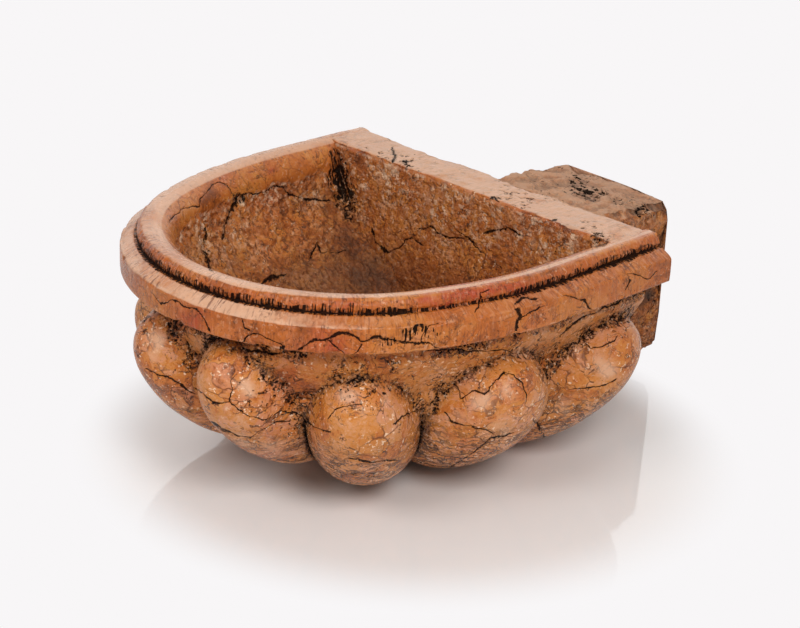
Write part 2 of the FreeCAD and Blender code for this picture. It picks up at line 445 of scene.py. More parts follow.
def basin_line(low, high):
    """Side of the hollow between two heights, upwards."""
    heights = np.linspace(low, high, 40)
    return np.stack([basin_inset(heights), heights], -1)


def roll_line(start, end):
    """Rolled edge, from angle start down to end; a right angle is its foot."""
    turn = np.linspace(start, end, 40)
    inset = ROLL_START + ROLL_WIDTH * np.sin(turn)
    return np.stack([inset, RIM_HEIGHT - ROLL_DROP * (1 - np.cos(turn))], -1)


def neck_line():
    """Neck and shoulder as one smooth line through their corners, downwards."""
    insets, heights = np.array(NECK_CORNERS).T
    slopes = np.gradient(insets, heights)
    line = []
    for k in range(len(heights) - 1):
        span = heights[k + 1] - heights[k]
        for share in np.linspace(0, 1, 12, endpoint=False):
            rise = share * share * (3 - 2 * share)
            lean = share * (1 - share) ** 2 * slopes[k] - share ** 2 * (1 - share) * slopes[k + 1]
            inset = insets[k] + (insets[k + 1] - insets[k]) * rise + span * lean
            line.append((inset, heights[k] + span * share))
    line.append((insets[-1], heights[-1]))
    return np.array(line)


def bowl_line():
    """Outside of the bowl, from the shoulder down to the seat."""
    share = np.linspace(0, 1, 60)
    inset = SHOULDER_FOOT + (SEAT_INSET - SHOULDER_FOOT) * share ** BOWL_DRAW
    return np.stack([inset, SHOULDER_BASE * (1 - share)], -1)


class Profile:
    """The whole section of the rim and bowl, from the hollow's floor over the lip to the seat."""

    def __init__(self, fine):
        foot_turn = math.acos(1 - (RIM_HEIGHT - LIP_BASE) / ROLL_DROP)
        neck = neck_line()
        split = int(np.argmin(np.abs(neck[:, 1] - NECK_BASE)))
        lip_face = rounded([
            (ROLL_START, RIM_HEIGHT), (0.0, RIM_HEIGHT, LIP_ROUND), (LIP_FOOT, LIP_BASE)])
        band_face = rounded([
            (LIP_FOOT, LIP_BASE), (BAND_EDGE, BAND_SHELF, BAND_ROUND),
            (BAND_EDGE, BAND_BASE, BAND_ROUND), (NECK_TOP, BAND_BASE)])
        band_in = np.concatenate([
            basin_line(BAND_BASE, RIM_HEIGHT - ROLL_DROP), roll_line(math.pi / 2, foot_turn)[1:]])
        lip = np.concatenate([roll_line(foot_turn, 0.0), np.array(lip_face)[1:]])
        stretches = [
            ("bowl_in", basin_line(FLOOR_HEIGHT, SHOULDER_BASE), 1.7),
            ("shoulder_in", basin_line(SHOULDER_BASE, NECK_BASE), 1.5),
            ("neck_in", basin_line(NECK_BASE, BAND_BASE), 1.4),
            ("band_in", band_in, 1.2),
            ("lip", lip, 0.9),
            ("band_out", np.array(band_face), 1.0),
            ("neck_out", neck[:split + 1], 1.2),
            ("shoulder_out", neck[split:], 1.3),
            ("bowl_out", bowl_line(), 2.2),
        ]
        self.rows = {}
        parts = []
        count = 0
        for name, line, spacing in stretches:
            line = evenly(line, spacing * fine)
            self.rows[name] = (count, count + len(line) - 1)
            parts.append(line[:-1])
            count += len(line) - 1
        parts.append(line[-1:])
        points = np.concatenate(parts)
        self.inset, self.height = points.T
        self.out_inset, self.out_height = square_to(points)
        self.run = distances(points)
        self.edges = [self.run_at(corner) for corner in (
            (0.0, RIM_HEIGHT), (BAND_EDGE, BAND_SHELF), (BAND_EDGE, BAND_BASE))]
        self.groove = self.run_at((LIP_FOOT, LIP_BASE))
        self.under = self.run_at((NECK_TOP, BAND_BASE))
        self.top = self.run_at((ROLL_START, RIM_HEIGHT))

    def run_at(self, corner):
        """Distance along the profile of the point nearest to a corner."""
        gap = np.hypot(self.inset - corner[0], self.height - corner[1])
        return self.run[int(np.argmin(gap))]

    def outside_inset(self, height):
        """Inset of the neck, shoulder and bowl at a height."""
        first = self.rows["neck_out"][0]
        return np.interp(height, self.height[first:][::-1], self.inset[first:][::-1])

    def body_gap(self, points):
        """Distance outside the neck, shoulder and bowl, less than 0 inside the stone."""
        reach = 0.5
        height = np.clip(points[:, 2], reach, BAND_BASE - reach)
        inset, out_x, out_y = plan_inset(points)
        own = self.outside_inset(height)
        slope = self.outside_inset(height - reach) - self.outside_inset(height + reach)
        return (own - inset) / np.hypot(1.0, slope), out_x, out_y


# How much wider all spacings are in a quick build.
FINE = 1.0
PROFILE = Profile(FINE)


def egg_frame(row, side):
    """Centre, axes and half sizes of a lobe on the right (side 1) or left (side -1)."""
    centre_x, centre_y, centre_z, facing, width = row
    turn = math.radians(facing)
    across = np.array([math.cos(turn), math.sin(turn), 0.0])
    lean_out = np.array([math.sin(turn), -math.cos(turn), 0.0])
    up = np.array([0.0, 0.0, 1.0])
    thick = -lean_out * math.cos(EGG_LEAN) + up * math.sin(EGG_LEAN)
    long = lean_out * math.sin(EGG_LEAN) + up * math.cos(EGG_LEAN)
    axes = np.stack([across, thick, long])
    axes[:, 0] *= side
    centre = np.array([side * centre_x, centre_y + WALL_Y, centre_z])
    return centre, axes, np.array([width / 2, EGG_THICKNESS / 2, EGG_LENGTH / 2])


def egg_gap(points, egg):
    """Distance outside a lobe's egg, less than 0 inside it, and its outward direction."""
    centre, axes, half = egg
    local = (points - centre) @ axes.T
    scaled = np.sqrt(((local / half) ** 2).sum(1)) + 1e-9
    slope = local / half ** 2
    length = np.sqrt((slope ** 2).sum(1)) + 1e-9
    return scaled * (scaled - 1) / length, (slope / length[:, None]) @ axes


EGGS = {
    f"lobe_{name}_{hand}": egg_frame(row, side)
    for name, row in LOBE_ROWS.items() for hand, side in (("right", 1.0), ("left", -1.0))
}


# Distance that stands for no lobe near by.
NO_LOBE = 99.0


def all_eggs_gap(points, skip=()):
    """Distance outside the nearest lobe."""
    nearest = np.full(len(points), NO_LOBE)
    for name, egg in EGGS.items():
        if name not in skip:
            nearest = np.minimum(nearest, egg_gap(points, egg)[0])
    return nearest


def soft_join(gap, reach):
    """How far a surface swells where another one is gap away, so that they flow together."""
    share = np.clip(1 - np.abs(gap) / reach, 0, 1)
    return reach / 4 * share * share


def looking_axes(azimuth, elevation):
    """Right, up and backward directions of a camera or lamp that looks at the stoup."""
    back = np.array([
        math.sin(azimuth) * math.cos(elevation), -math.cos(azimuth) * math.cos(elevation),
        math.sin(elevation)])
    right = np.array([math.cos(azimuth), math.sin(azimuth), 0.0])
    return right, np.cross(back, right), back


def camera_axes():
    """Camera's place and its right, up and backward directions."""
    right, up, back = looking_axes(CAMERA_AZIMUTH, CAMERA_ELEVATION)
    turned_right = math.cos(CAMERA_ROLL) * right + math.sin(CAMERA_ROLL) * up
    turned_up = math.cos(CAMERA_ROLL) * up - math.sin(CAMERA_ROLL) * right
    return CAMERA_TARGET + back * CAMERA_DISTANCE, turned_right, turned_up, back


def in_picture(points):
    """Where points fall in the picture, from its top left corner."""
    place, right, up, back = camera_axes()
    offset = points - place
    depth = -(offset @ back)
    across = PICTURE[0] / 2 + PICTURE_FOCUS * (offset @ right) / depth
    down = PICTURE[1] / 2 - PICTURE_FOCUS * (offset @ up) / depth
    return np.stack([across, down], -1)


def faces_camera(points, normals):
    """True where a surface is turned towards the camera."""
    return ((camera_axes()[0] - points) * normals).sum(1) > 0


# Distance that stands for no crack, in crack widths, and how far, at what size and from where
# noise makes the cracks wander, in picture points and millimetres.
FAR_CRACK = 9.0
CRACK_WOBBLE = ((1.6, 9.0, (5.0, 25.0)), (0.7, 3.0, (45.0, 65.0)))


def crack_fields(points, normals, cracks):
    """Signed and plain distance to the nearest crack, in crack widths."""
    side = np.full(len(points), FAR_CRACK)
    near = np.full(len(points), FAR_CRACK)
    seen = faces_camera(points, normals)
    places = in_picture(points[seen])
    for reach, size, shifts in CRACK_WOBBLE:
        places = places + reach * np.stack([noise(points[seen], size, k) for k in shifts], -1)
    best = np.full(len(places), FAR_CRACK)
    signed = np.full(len(places), FAR_CRACK)
    for width, line in cracks:
        line = np.array(line, float)
        for start, end in zip(line, line[1:]):
            run = end - start
            offset = places - start
            share = np.clip((offset @ run) / (run @ run), 0, 1)
            gap = offset - share[:, None] * run
            away = np.hypot(gap[:, 0], gap[:, 1]) / width
            turn = np.sign(run[0] * offset[:, 1] - run[1] * offset[:, 0])
            closer = away < best
            best[closer] = away[closer]
            signed[closer] = (away * turn)[closer]
    side[seen] = signed
    near[seen] = best
    return side, near


def crack_cut(near):
    """How far a crack is open at a distance from it, 1 in its middle."""
    return np.exp(-near * near)


# How far noise pushes the edges of the laid spots about, in picture points.
DIRT_STRAY = 3.0
PALE_STRAY = 5.0
RED_STRAY = 6.0


def spots(points, normals, blobs, stray):
    """Sum of soft spots given in the picture, broken up by noise."""
    total = np.zeros(len(points))
    seen = faces_camera(points, normals)
    places = in_picture(points[seen]) + stray * pattern("stray", points[seen])[:, None]
    sums = np.zeros(len(places))
    for across, down, radius, strength in blobs:
        away = np.hypot(places[:, 0] - across, places[:, 1] - down) / radius
        sums += strength * np.exp(-away * away)
    total[seen] = sums
    return total


def sooty(dirt, points, level, patchiness):
    """Dirt broken up into patches by noise."""
    return dirt * np.clip(level + patchiness * pattern("soot", points), 0, 1.6)


def soft_normals(points, faces):
    """Normals of the points of some faces, averaged over those faces only."""
    total = np.zeros_like(points)
    corners = faces.shape[1]
    first, second, third, last = (points[faces[:, k]] for k in (0, 1, 2, corners - 1))
    cross = np.cross(third - first, last - second)
    for k in range(corners):
        np.add.at(total, faces[:, k], cross)
    return total / np.maximum(np.linalg.norm(total, axis=1), 1e-9)[:, None]


def new_object(name, data):
    """Object with some data, linked into the scene."""
    made = bpy.data.objects.new(name, data)
    bpy.context.scene.collection.objects.link(made)
    return made


def mesh_object(name, points, groups):
    """Mesh object from points in millimetres and groups of faces.

    A group is its faces and the normals of the points, or None to average over the group,
    so that a smooth surface ends in a crisp edge where the next group begins.
    """
    mesh = bpy.data.meshes.new(name)
    corners, counts, corner_normals = [], [], []
    for faces, normals in groups:
        faces = np.asarray(faces, np.int32)
        normals = soft_normals(points, faces) if normals is None else normals
        corners.append(faces.ravel())
        counts.append(np.full(len(faces), faces.shape[1]))
        corner_normals.append(normals[faces.ravel()])
    corners = np.concatenate(corners)
    counts = np.concatenate(counts)
    starts = np.concatenate([[0], np.cumsum(counts)[:-1]])
    mesh.vertices.add(len(points))
    mesh.vertices.foreach_set("co", (points * MM).astype(np.float32).ravel())
    mesh.loops.add(len(corners))
    mesh.loops.foreach_set("vertex_index", corners)
    mesh.polygons.add(len(starts))
    mesh.polygons.foreach_set("loop_start", starts.astype(np.int32))
    mesh.update(calc_edges=True)
    mesh.polygons.foreach_set("use_smooth", np.ones(len(starts), bool))
    mesh.normals_split_custom_set(np.concatenate(corner_normals).astype(np.float32))
    return new_object(name, mesh)


def set_field(piece, name, values):
    """Stores one number or one vector for each point of a mesh."""
    values = np.asarray(values, np.float32)
    kind = "FLOAT" if values.ndim == 1 else "FLOAT_VECTOR"
    field = piece.data.attributes.new(name, kind, "POINT")
    field.data.foreach_set("value" if values.ndim == 1 else "vector", values.ravel())


def dress(piece, node, material):
    """Fixes a piece to the stone in place of its solid and gives it its finish."""
    piece.data.materials.append(material)
    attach(piece, "root")
    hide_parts(node)


# Filled faces: how far the points inside are shifted and kept off the outline, in spacings.
GRID_JITTER = 0.28
EDGE_ROOM = 0.45


def fill_outline(outline, spacing):
    """Points and triangles that fill a closed flat outline, given in two coordinates."""
    low, high = outline.min(0), outline.max(0)
    across = np.arange(low[0] + spacing / 2, high[0], spacing)
    up = np.arange(low[1] + spacing / 2, high[1], spacing)
    grid = np.stack(np.meshgrid(across, up), -1).reshape(-1, 2)
    grid = grid + spacing * GRID_JITTER * np.random.default_rng(5).uniform(-1, 1, grid.shape)
    nearest = np.full(len(grid), 1e9)
    inside = np.zeros(len(grid), bool)
    for start, end in zip(outline, np.roll(outline, -1, 0)):
        nearest = np.minimum(nearest, ((grid - start) ** 2).sum(1))
        crosses = (start[1] > grid[:, 1]) != (end[1] > grid[:, 1])
        rise = end[1] - start[1] if end[1] != start[1] else 1e-12
        meets = start[0] + (grid[:, 1] - start[1]) * (end[0] - start[0]) / rise
        inside ^= crosses & (grid[:, 0] < meets)
    grid = grid[inside & (nearest > (EDGE_ROOM * spacing) ** 2)]
    given = np.concatenate([outline, grid])
    ring = list(range(len(outline)))
    made = delaunay_2d_cdt([tuple(p) for p in given], [], [ring], 1, 1e-7, True)
    flat = np.array([tuple(p) for p in made[0]])
    source = np.array([ids[0] if ids else -1 for ids in made[3]])
    faces = np.array([face for face in made[2] if len(face) == 3], int).reshape(-1, 3)
    return flat, source, faces


# Rear face: how deep its dressing goes, and how far it looks pecked.
REAR_DEPTH = 1.3
REAR_PECKED = 0.35


def rear_roughness(points):
    """How far the dressed rear face lies inside the wall's plane."""
    return REAR_DEPTH * np.clip(0.45 + 0.5 * pattern("rear", points), 0, 1)


# Swept surface: spacing of its columns in millimetres.
SKIN_SPACING = 1.1

# Pecked hollow: height and stray of its upper end, depth of its ground and pits, and the level
# that they are taken from.
PECKED_TOP = (186.0, 190.0)
PECKED_STRAY = 4.0
PECK_RIDGES = (6.0, 2, 1.0)
PECK_GROUND = 1.9
PECK_PITS = 2.4
PECK_LEVEL = 3.2

# Tooling of the lip's top, the lip's face and the shelf: how softly each face ends, its plain
# depth, and the depths of its strokes, fine strokes and slow swell.
RIM_TOOLING = (
    (1.0, 0.22, 0.12, 0.0, 0.1), (1.0, 0.5, 0.45, 0.25, 0.3), (1.5, 0.45, 0.3, 0.2, 0.25),
)
BAND_SOFT = 1.5

# Groove at the lip's foot, and the reach and depth of the chips on the rim's three edges.
GROOVE_WIDTH = 1.3
GROOVE_DEEPEST = 3.4
EDGE_CHIPS = ((2.4, 1.3), (3.2, 2.0), (3.2, 2.2))
CHIP_SIZE = 17.0
NICK_SIZE = 5.5
NICK_DEPTH = 0.45

# Where a lobe flows into the stone round it: reach of the join and of the crease, and how deep
# the pits in the crease are.
JOIN_REACH = 13.0
CREASE_REACH = 7.5
CREASE_PITS = 1.3

# How far below the groove the lip's own cracks and dirt reach, and how deep cracks are cut.
FOOT_REACH = 12.0
CRACK_DEPTH = 0.45


def spread(values, shape):
    """The value of each row, repeated over the columns of a grid, as one list."""
    return np.broadcast_to(values[:, None], shape).ravel()


class Skin:
    """Swept surface of the rim and bowl on one grid of rows and columns, carved and marked."""

    def __init__(self):
        columns = 2 * round(WHOLE_RUN / (SKIN_SPACING * FINE)) + 1
        along = np.linspace(-WHOLE_RUN, WHOLE_RUN, columns)
        self.shape = (len(PROFILE.inset), columns)
        self.along = np.tile(along, self.shape[0])
        self.run = spread(PROFILE.run, self.shape)
        base_x, base_y, out_x, out_y = plan_frame(self.along)
        inset, level = spread(PROFILE.inset, self.shape), -spread(PROFILE.out_inset, self.shape)
        height, rise = spread(PROFILE.height, self.shape), spread(PROFILE.out_height, self.shape)
        points = np.stack([base_x - inset * out_x, base_y - inset * out_y, height], -1)
        normals = np.stack([level * out_x, level * out_y, rise], -1)
        self.fields = {}
        self.points = self.carve(points, normals)
        self.normals = self.grid_normals()

    def region(self, start, end, soft):
        """1 between two distances along the profile, softened at both."""
        return smooth_step(start - soft, start + soft, self.run) * (
            1 - smooth_step(end - soft, end + soft, self.run))

    def carve(self, points, normals):
        """Tool marks, chips, cracks, dirt, painted shade and painted sheen; returns the carved
        points.
        """
        run = self.run
        top, groove, under = PROFILE.top, PROFILE.groove, PROFILE.under
        face, shelf_end, band_end = PROFILE.edges
        strokes, fine_strokes, comb = (
            tool_marks(name, self.along, run) for name in ("strokes", "fine", "comb"))
        broad = pattern("swell", points)
        ragged = points[:, 2] + PECKED_STRAY * pattern("peck_line", points)
        inner = run < top
        pecked = np.where(inner, 1 - smooth_step(*PECKED_TOP, ragged), 0.0)
        outer = run > under
        eggs = np.full(len(run), NO_LOBE)
        eggs[outer] = all_eggs_gap(points[outer])

        pecks = ridged(points, *PECK_RIDGES) + 0.6 * pattern("pecks", points)
        ground = pattern("peck_ground", points)
        depth = pecked * (PECK_GROUND * ground + PECK_PITS * pecks - PECK_LEVEL)
        depth += np.where(inner, 1 - pecked, 0) * (0.35 * broad - 0.3)
        spans = zip((top, face, groove), (face, groove, shelf_end), RIM_TOOLING)
        for start, end, (soft, plain, coarse, thin, swell) in spans:
            depth -= self.region(start, end, soft) * (
                plain + coarse * strokes + thin * fine_strokes + swell * (broad + 1))
        band = self.region(shelf_end, band_end, BAND_SOFT)
        depth -= band * (0.5 + 0.4 * broad + 0.1 * strokes)
        below = smooth_step(band_end, band_end + 4, run)
        depth += below * (0.55 * pattern("spalls", points) - 0.2)
        cut = 1.5 + 0.9 * np.clip(comb, 0, 1) + 0.7 * strokes
        depth -= np.clip(bump_at(run, groove, GROOVE_WIDTH) * cut, 0, GROOVE_DEEPEST)
        for edge, (reach, deepest) in zip(PROFILE.edges, EDGE_CHIPS):
            chance = smooth_step(0.22, 0.75, layered(points, CHIP_SIZE, 2, edge))
            nicks = smooth_step(0.3, 0.7, noise(points, NICK_SIZE, edge + 1))
            depth -= bump_at(run, edge, reach) * (deepest * chance + NICK_DEPTH * nicks)
        depth += np.where(outer, soft_join(eggs, JOIN_REACH), 0.0)
        close = np.exp(-(eggs / CREASE_REACH) ** 2)
        pits = smooth_step(0.18, 0.42, pattern("pits", points))
        depth -= np.where(outer, close * pits * CREASE_PITS, 0)

        self.mark(points, normals, pecked, close, pits, comb, broad)
        depth -= CRACK_DEPTH * crack_cut(self.fields["crack_near"])
        return np.clip(points + normals * depth[:, None], STONE_LOW, STONE_HIGH)

    def mark(self, points, normals, pecked, close, pits, comb, broad):
        """Fields that the stone's finish is mixed from."""
        run = self.run
        hollow = run < PROFILE.top
        outside = run >= PROFILE.under
        at_foot = ~hollow & ~outside & (run < PROFILE.groove + FOOT_REACH)
        on_band = ~hollow & ~outside & ~at_foot
        side, near, dirt, red = np.zeros((4, len(run)))
        for part, cracks, blobs in (
                (hollow, HOLLOW_CRACKS, HOLLOW_DIRT), (at_foot, LIP_CRACKS, RIM_DIRT),
                (on_band, BAND_CRACKS, BAND_DIRT), (outside, NECK_CRACKS, NECK_DIRT)):
            side[part], near[part] = crack_fields(points[part], normals[part], cracks)
            dirt[part] = spots(points[part], normals[part], blobs, DIRT_STRAY)
            red[part] = spots(points[part], normals[part], RED_PATCHES, RED_STRAY)
        grime = self.groove_dirt_and_band_shade(points, np.where(at_foot, np.clip(dirt, 0, 1.1), 0.0), comb)
        # Dirt and painted shade in the creases where the lobes meet the neck, darker in the pits.
        in_crease = close * (run > PROFILE.under)
        grime += in_crease * (0.30 + 0.45 * pits)
        dirt = np.where(at_foot, 0.0, dirt)
        grime += sooty(dirt, points, np.where(hollow, 0.8, 0.34), np.where(hollow, 0.75, 0.4))
        # Painted shade low in the hollow; outside the hollow the creases by the lobes get painted
        # shade instead.
        stain = spots(points, normals, HOLLOW_SHADE, PALE_STRAY)
        worn, extra_red, tooled = self.wear_and_sheen(points, normals)
        self.fields = {
            "worn": np.clip(worn * (0.85 + 0.3 * broad), 0, 1),
            "grime": np.clip(grime, 0, 1.5),
            "red": np.clip(red + extra_red, 0, 1.2),
            "pecked": pecked,
            "stain": np.clip(np.where(hollow, stain, 0.5 * in_crease), 0, 1),
            "tooled": np.clip(tooled, 0, 1),
            "crack_side": side,
            "crack_near": near,
            "stroke": np.stack([self.along, run, np.zeros_like(run)], -1),
        }

    def groove_dirt_and_band_shade(self, points, comb_dirt, comb):
        """Dirt in the groove, combed out over its two sides, and painted shade under the band."""
        run, under, band_end = self.run, PROFILE.under, PROFILE.edges[2]
        beyond = run - PROFILE.groove
        reach = np.where(beyond < 0, 1.5 + 5.5 * comb_dirt, 1.0 + 2.2 * comb_dirt)
        reach = reach * (1 + 0.7 * comb)
        grime = (0.95 + 0.35 * comb_dirt) * bump_at(beyond, 0.0, 0.65 + 0.45 * comb_dirt)
        grime += (0.05 + 0.36 * comb_dirt) * (1 - smooth_step(0.4, 1.25, np.abs(beyond) / reach))
        # Painted shade under the band's overhang, broken up by noise.
        under_band_shade = smooth_step(band_end + 4, under + 2, run)
        under_band_shade *= 1 - smooth_step(under + 6, under + 30, run)
        return grime + under_band_shade * 0.75 * smooth_step(-0.3, 0.6, pattern("under_band_shade", points))

    def wear_and_sheen(self, points, normals):
        """How much painted sheen and wear, how much redder and how tooled the rim is."""
        run, top, groove = self.run, PROFILE.top, PROFILE.groove
        face, shelf_end, band_end = PROFILE.edges
        # Painted sheen and highlights, with some wear, strongest on the left half: a pale line on
        # the lip's crest that widens on the left, and a pale shelf.
        from_left = smooth_step(220.0, 60.0, self.along)
        worn = self.region(top - 2.0 - 9.0 * from_left, top + 3.2 + 4.0 * from_left, 1.6)
        worn += (0.25 + 0.75 * from_left) * self.region(groove + 2.0, shelf_end + 0.5, 1.5)
        # Painted highlights along the shelf's edge and the band's lower edge, broken up by noise.
        edges = (0.2 + 0.5 * from_left) * bump_at(run, shelf_end - 0.8, 1.6)
        edges += 0.7 * bump_at(run, band_end - 0.6, 1.2)
        worn += edges * np.clip(0.3 + 0.9 * pattern("wear_and_sheen", points), 0, 1)
        # Painted highlights, laid as spots in the picture.
        worn += 0.9 * spots(points, normals, PAINTED_HIGHLIGHTS, PALE_STRAY)
        on_face = self.region(face, groove, 0.8)
        on_shelf = self.region(groove, shelf_end, 0.8)
        on_band = self.region(shelf_end, band_end, 0.8)
        tooled = (0.35 + 0.45 * from_left) * self.region(top - 2.0, face, 2.0)
        tooled += 0.9 * on_face
        tooled += 0.9 * on_shelf + 0.55 * on_band
        return worn, 0.4 * on_face + 0.16 * on_band, tooled

    def grid_normals(self):
        """Normals of the carved grid."""
        grid = self.points.reshape(*self.shape, 3)
        up = np.gradient(grid, axis=0)
        across = np.gradient(grid, axis=1)
        normals = np.cross(up, across)
        normals /= np.maximum(np.linalg.norm(normals, axis=2), 1e-9)[:, :, None]
        middle = normals[(PROFILE.rows["lip"][0] + PROFILE.rows["lip"][1]) // 2]
        if middle[:, 2].mean() < 0:
            normals = -normals
        return normals.reshape(-1, 3)

    def rows(self, first, last):
        """Numbers of the grid's points in some rows, as rows by columns."""
        count = self.shape[1]
        return np.arange(first * count, (last + 1) * count).reshape(-1, count)


def grid_quads(numbers):
    """Four-cornered faces over a grid of point numbers."""
    corners = (numbers[:-1, :-1], numbers[:-1, 1:], numbers[1:, 1:], numbers[1:, :-1])
    return np.stack([c.ravel() for c in corners], -1)


def outward(quads, points, normals, number=0):
    """The same faces, all turned over if the one at number looks against its normal."""
    first, second, third = points[quads[number, :3]]
    looks = np.cross(second - first, third - first) @ normals[quads[number, 0]]
    return quads[:, ::-1] if looks < 0 else quads


def turned(faces, points, direction):
    """Faces with their corners in the order that makes them look in a direction."""
    first, second, third = (points[faces[:, k]] for k in range(3))
    looks = np.cross(second - first, third - first) @ direction
    flip = looks < 0
    faces = faces.copy()
    faces[flip] = faces[flip][:, ::-1]
    return faces


PLAIN_FIELDS = {
    "worn": 0.0, "grime": 0.0, "red": 0.0, "pecked": 1.0, "tooled": 0.0, "stain": 0.0,
    "crack_side": FAR_CRACK, "crack_near": FAR_CRACK,
}


class Block:
    """Points, faces and fields of one piece while it is put together."""

    def __init__(self):
        self.points = np.zeros((0, 3))
        self.fields = {name: np.zeros(0) for name in PLAIN_FIELDS}
        self.fields["stroke"] = np.zeros((0, 3))
        self.groups = []

    def add(self, points, fields=None):
        """Adds points with their fields and returns their numbers."""
        fields = fields or {}
        first = len(self.points)
        self.points = np.concatenate([self.points, points])
        for name, plain in PLAIN_FIELDS.items():
            values = fields.get(name, np.full(len(points), plain))
            self.fields[name] = np.concatenate([self.fields[name], values])
        strokes = fields.get("stroke", points)
        self.fields["stroke"] = np.concatenate([self.fields["stroke"], strokes])
        return np.arange(first, first + len(points))

    def face(self, faces, normals=None, towards=None):
        """Adds a group of faces, turned to look in one direction where it is given."""
        if towards is not None:
            faces = turned(faces, self.points, np.array(towards, float))
        self.groups.append((faces, normals))

    def cap(self, numbers, axes, spacing, towards, inner_point, pecked=1.0):
        """Fills a flat outline of known points; inner_point places the points inside it."""
        flat, source, faces = fill_outline(self.points[numbers][:, axes], spacing)
        known = (source >= 0) & (source < len(numbers))
        new = np.where(~known)[0]
        final = np.zeros(len(flat), int)
        final[known] = numbers[source[known]]
        final[new] = self.add(inner_point(flat[new]), {
            "grime": np.full(len(new), 0.12), "pecked": np.full(len(new), pecked)})
        self.face(final[faces], None, towards)

    def finish(self, node, slot, material):
        """Makes the piece and fixes it to the stone."""
        piece = mesh_object(node + "_stone", self.points, self.groups)
        for name, values in self.fields.items():
            set_field(piece, name, values)
        dress(piece, node, material)
        return piece


def at_depth(flat, y):
    """Points at one distance into the wall, from their X and Z."""
    return np.stack([flat[:, 0], np.full(len(flat), y), flat[:, 1]], -1)


def at_level(flat, height):
    """Points at one height, from their X and Y."""
    return np.stack([flat[:, 0], flat[:, 1], np.full(len(flat), height)], -1)


def on_wall_plane(flat):
    """Points of the rear face from their X and Z."""
    points = at_depth(flat, WALL_Y)
    points[:, 1] -= rear_roughness(points)
    return points


# Spacing of the points that fill the rear face, the hollow's floor, the seat, the tenon's end and
# the faces inside the stone, in millimetres, and of the points on a seam of the rear face.
REAR_SPACING = 3.5
FLOOR_SPACING = 2.5
SEAT_SPACING = 4.0
END_SPACING = 2.4
INSIDE_SPACING = 9.0
SEAM_SPACING = 3.0


def seam_numbers(block, start, end):
    """New points on the rear face between two known ones, the same from either side."""
    first, last = block.points[start], block.points[end]
    steps = max(2, round(abs(last[0] - first[0]) / SEAM_SPACING))
    low, high = sorted((first[0], last[0]))
    across = np.linspace(low, high, steps + 1)[1:-1]
    if first[0] > last[0]:
        across = across[::-1]
    return block.add(on_wall_plane(np.stack([across, np.full(len(across), first[2])], -1)))


def cap_rear(block, edge):
    """Closes a piece on the rear face, inside joined stretches of its outline."""
    block.cap(np.concatenate(edge), [0, 2], REAR_SPACING * FINE, (0, 1, 0), on_wall_plane,
              REAR_PECKED)


def swept_member(skin, node, stretches, slot, material):
    """A level of the stone: its stretches of the skin and the faces that close it."""
    block = Block()
    used = np.concatenate([skin.rows(*PROFILE.rows[name]).ravel() for name in stretches])
    lookup = np.full(len(skin.points), -1)
    lookup[used] = block.add(skin.points[used], {k: v[used] for k, v in skin.fields.items()})
    sheets = [lookup[skin.rows(*PROFILE.rows[name])] for name in stretches]
    normals = skin.normals[used]
    for sheet in sheets:
        quads = grid_quads(sheet)
        block.face(outward(quads, block.points, normals, len(quads) // 2), normals)
    inner, outer = sheets[0], sheets[-1]
    if node == "bowl":
        block.face(grid_quads(np.stack([inner[-1], outer[0]])), None, (0, 0, 1))
        close_bowl(block, inner, outer)
    else:
        block.face(grid_quads(np.stack([inner[0], outer[-1]])), None, (0, 0, -1))
        if len(sheets) > 1:
            block.face(grid_quads(np.stack([inner[-1], outer[0]])), None, (0, 0, 1))
        for column in (0, -1):
            edge = [inner[:, column]]
            if len(sheets) > 1:
                upper = seam_numbers(block, inner[-1, column], outer[0, column])
                edge += [upper, outer[:, column]]
            cap_rear(block, edge + [seam_numbers(block, outer[-1, column], inner[0, column])])
    return block.finish(node, slot, material)


def close_bowl(block, inner, outer):
    """Rear face, floor of the hollow and seat of the bowl."""
    cap_rear(block, [
        outer[:, 0],
        outer[::-1, -1],
        seam_numbers(block, outer[0, -1], inner[-1, -1]),
        inner[::-1, -1],
        inner[:, 0],
        seam_numbers(block, inner[-1, 0], outer[0, 0]),
    ])

    def floor_point(flat):
        points = at_level(flat, FLOOR_HEIGHT)
        points[:, 2] += 0.95 * pattern("peck_ground", points) - 0.7
        return points

    def seat_point(flat):
        points = at_level(flat, 0.0)
        points[:, 2] += 0.8 * np.clip(0.5 + 0.6 * pattern("seat", points), 0, 1)
        return points

    block.cap(inner[0], [0, 1], FLOOR_SPACING * FINE, (0, 0, 1), floor_point)
    block.cap(outer[-1], [0, 1], SEAT_SPACING * FINE, (0, 0, -1), seat_point, REAR_PECKED)


def ball_directions(steps):
    """Unit directions on six joined square grids, with their faces."""
    line = np.tan(np.linspace(-math.pi / 4, math.pi / 4, steps + 1))
    first, second = (part.ravel() for part in np.meshgrid(line, line, indexing="ij"))
    third = np.ones_like(first)
    numbers = np.arange((steps + 1) ** 2).reshape(steps + 1, steps + 1)
    sides, faces = [], []
    for axis in range(3):
        for sign in (1, -1):
            parts = [None, None, None]
            parts[axis] = sign * third
            parts[(axis + 1) % 3] = sign * first
            parts[(axis + 2) % 3] = second
            faces.append(grid_quads(numbers) + len(sides) * numbers.size)
            sides.append(np.stack(parts, -1))
    points = np.concatenate(sides)
    points /= np.linalg.norm(points, axis=1)[:, None]
    keys = np.round(points * 1e5).astype(np.int64)
    _, keep, same = np.unique(keys, axis=0, return_index=True, return_inverse=True)
    return points[keep], same.ravel()[np.concatenate(faces)]


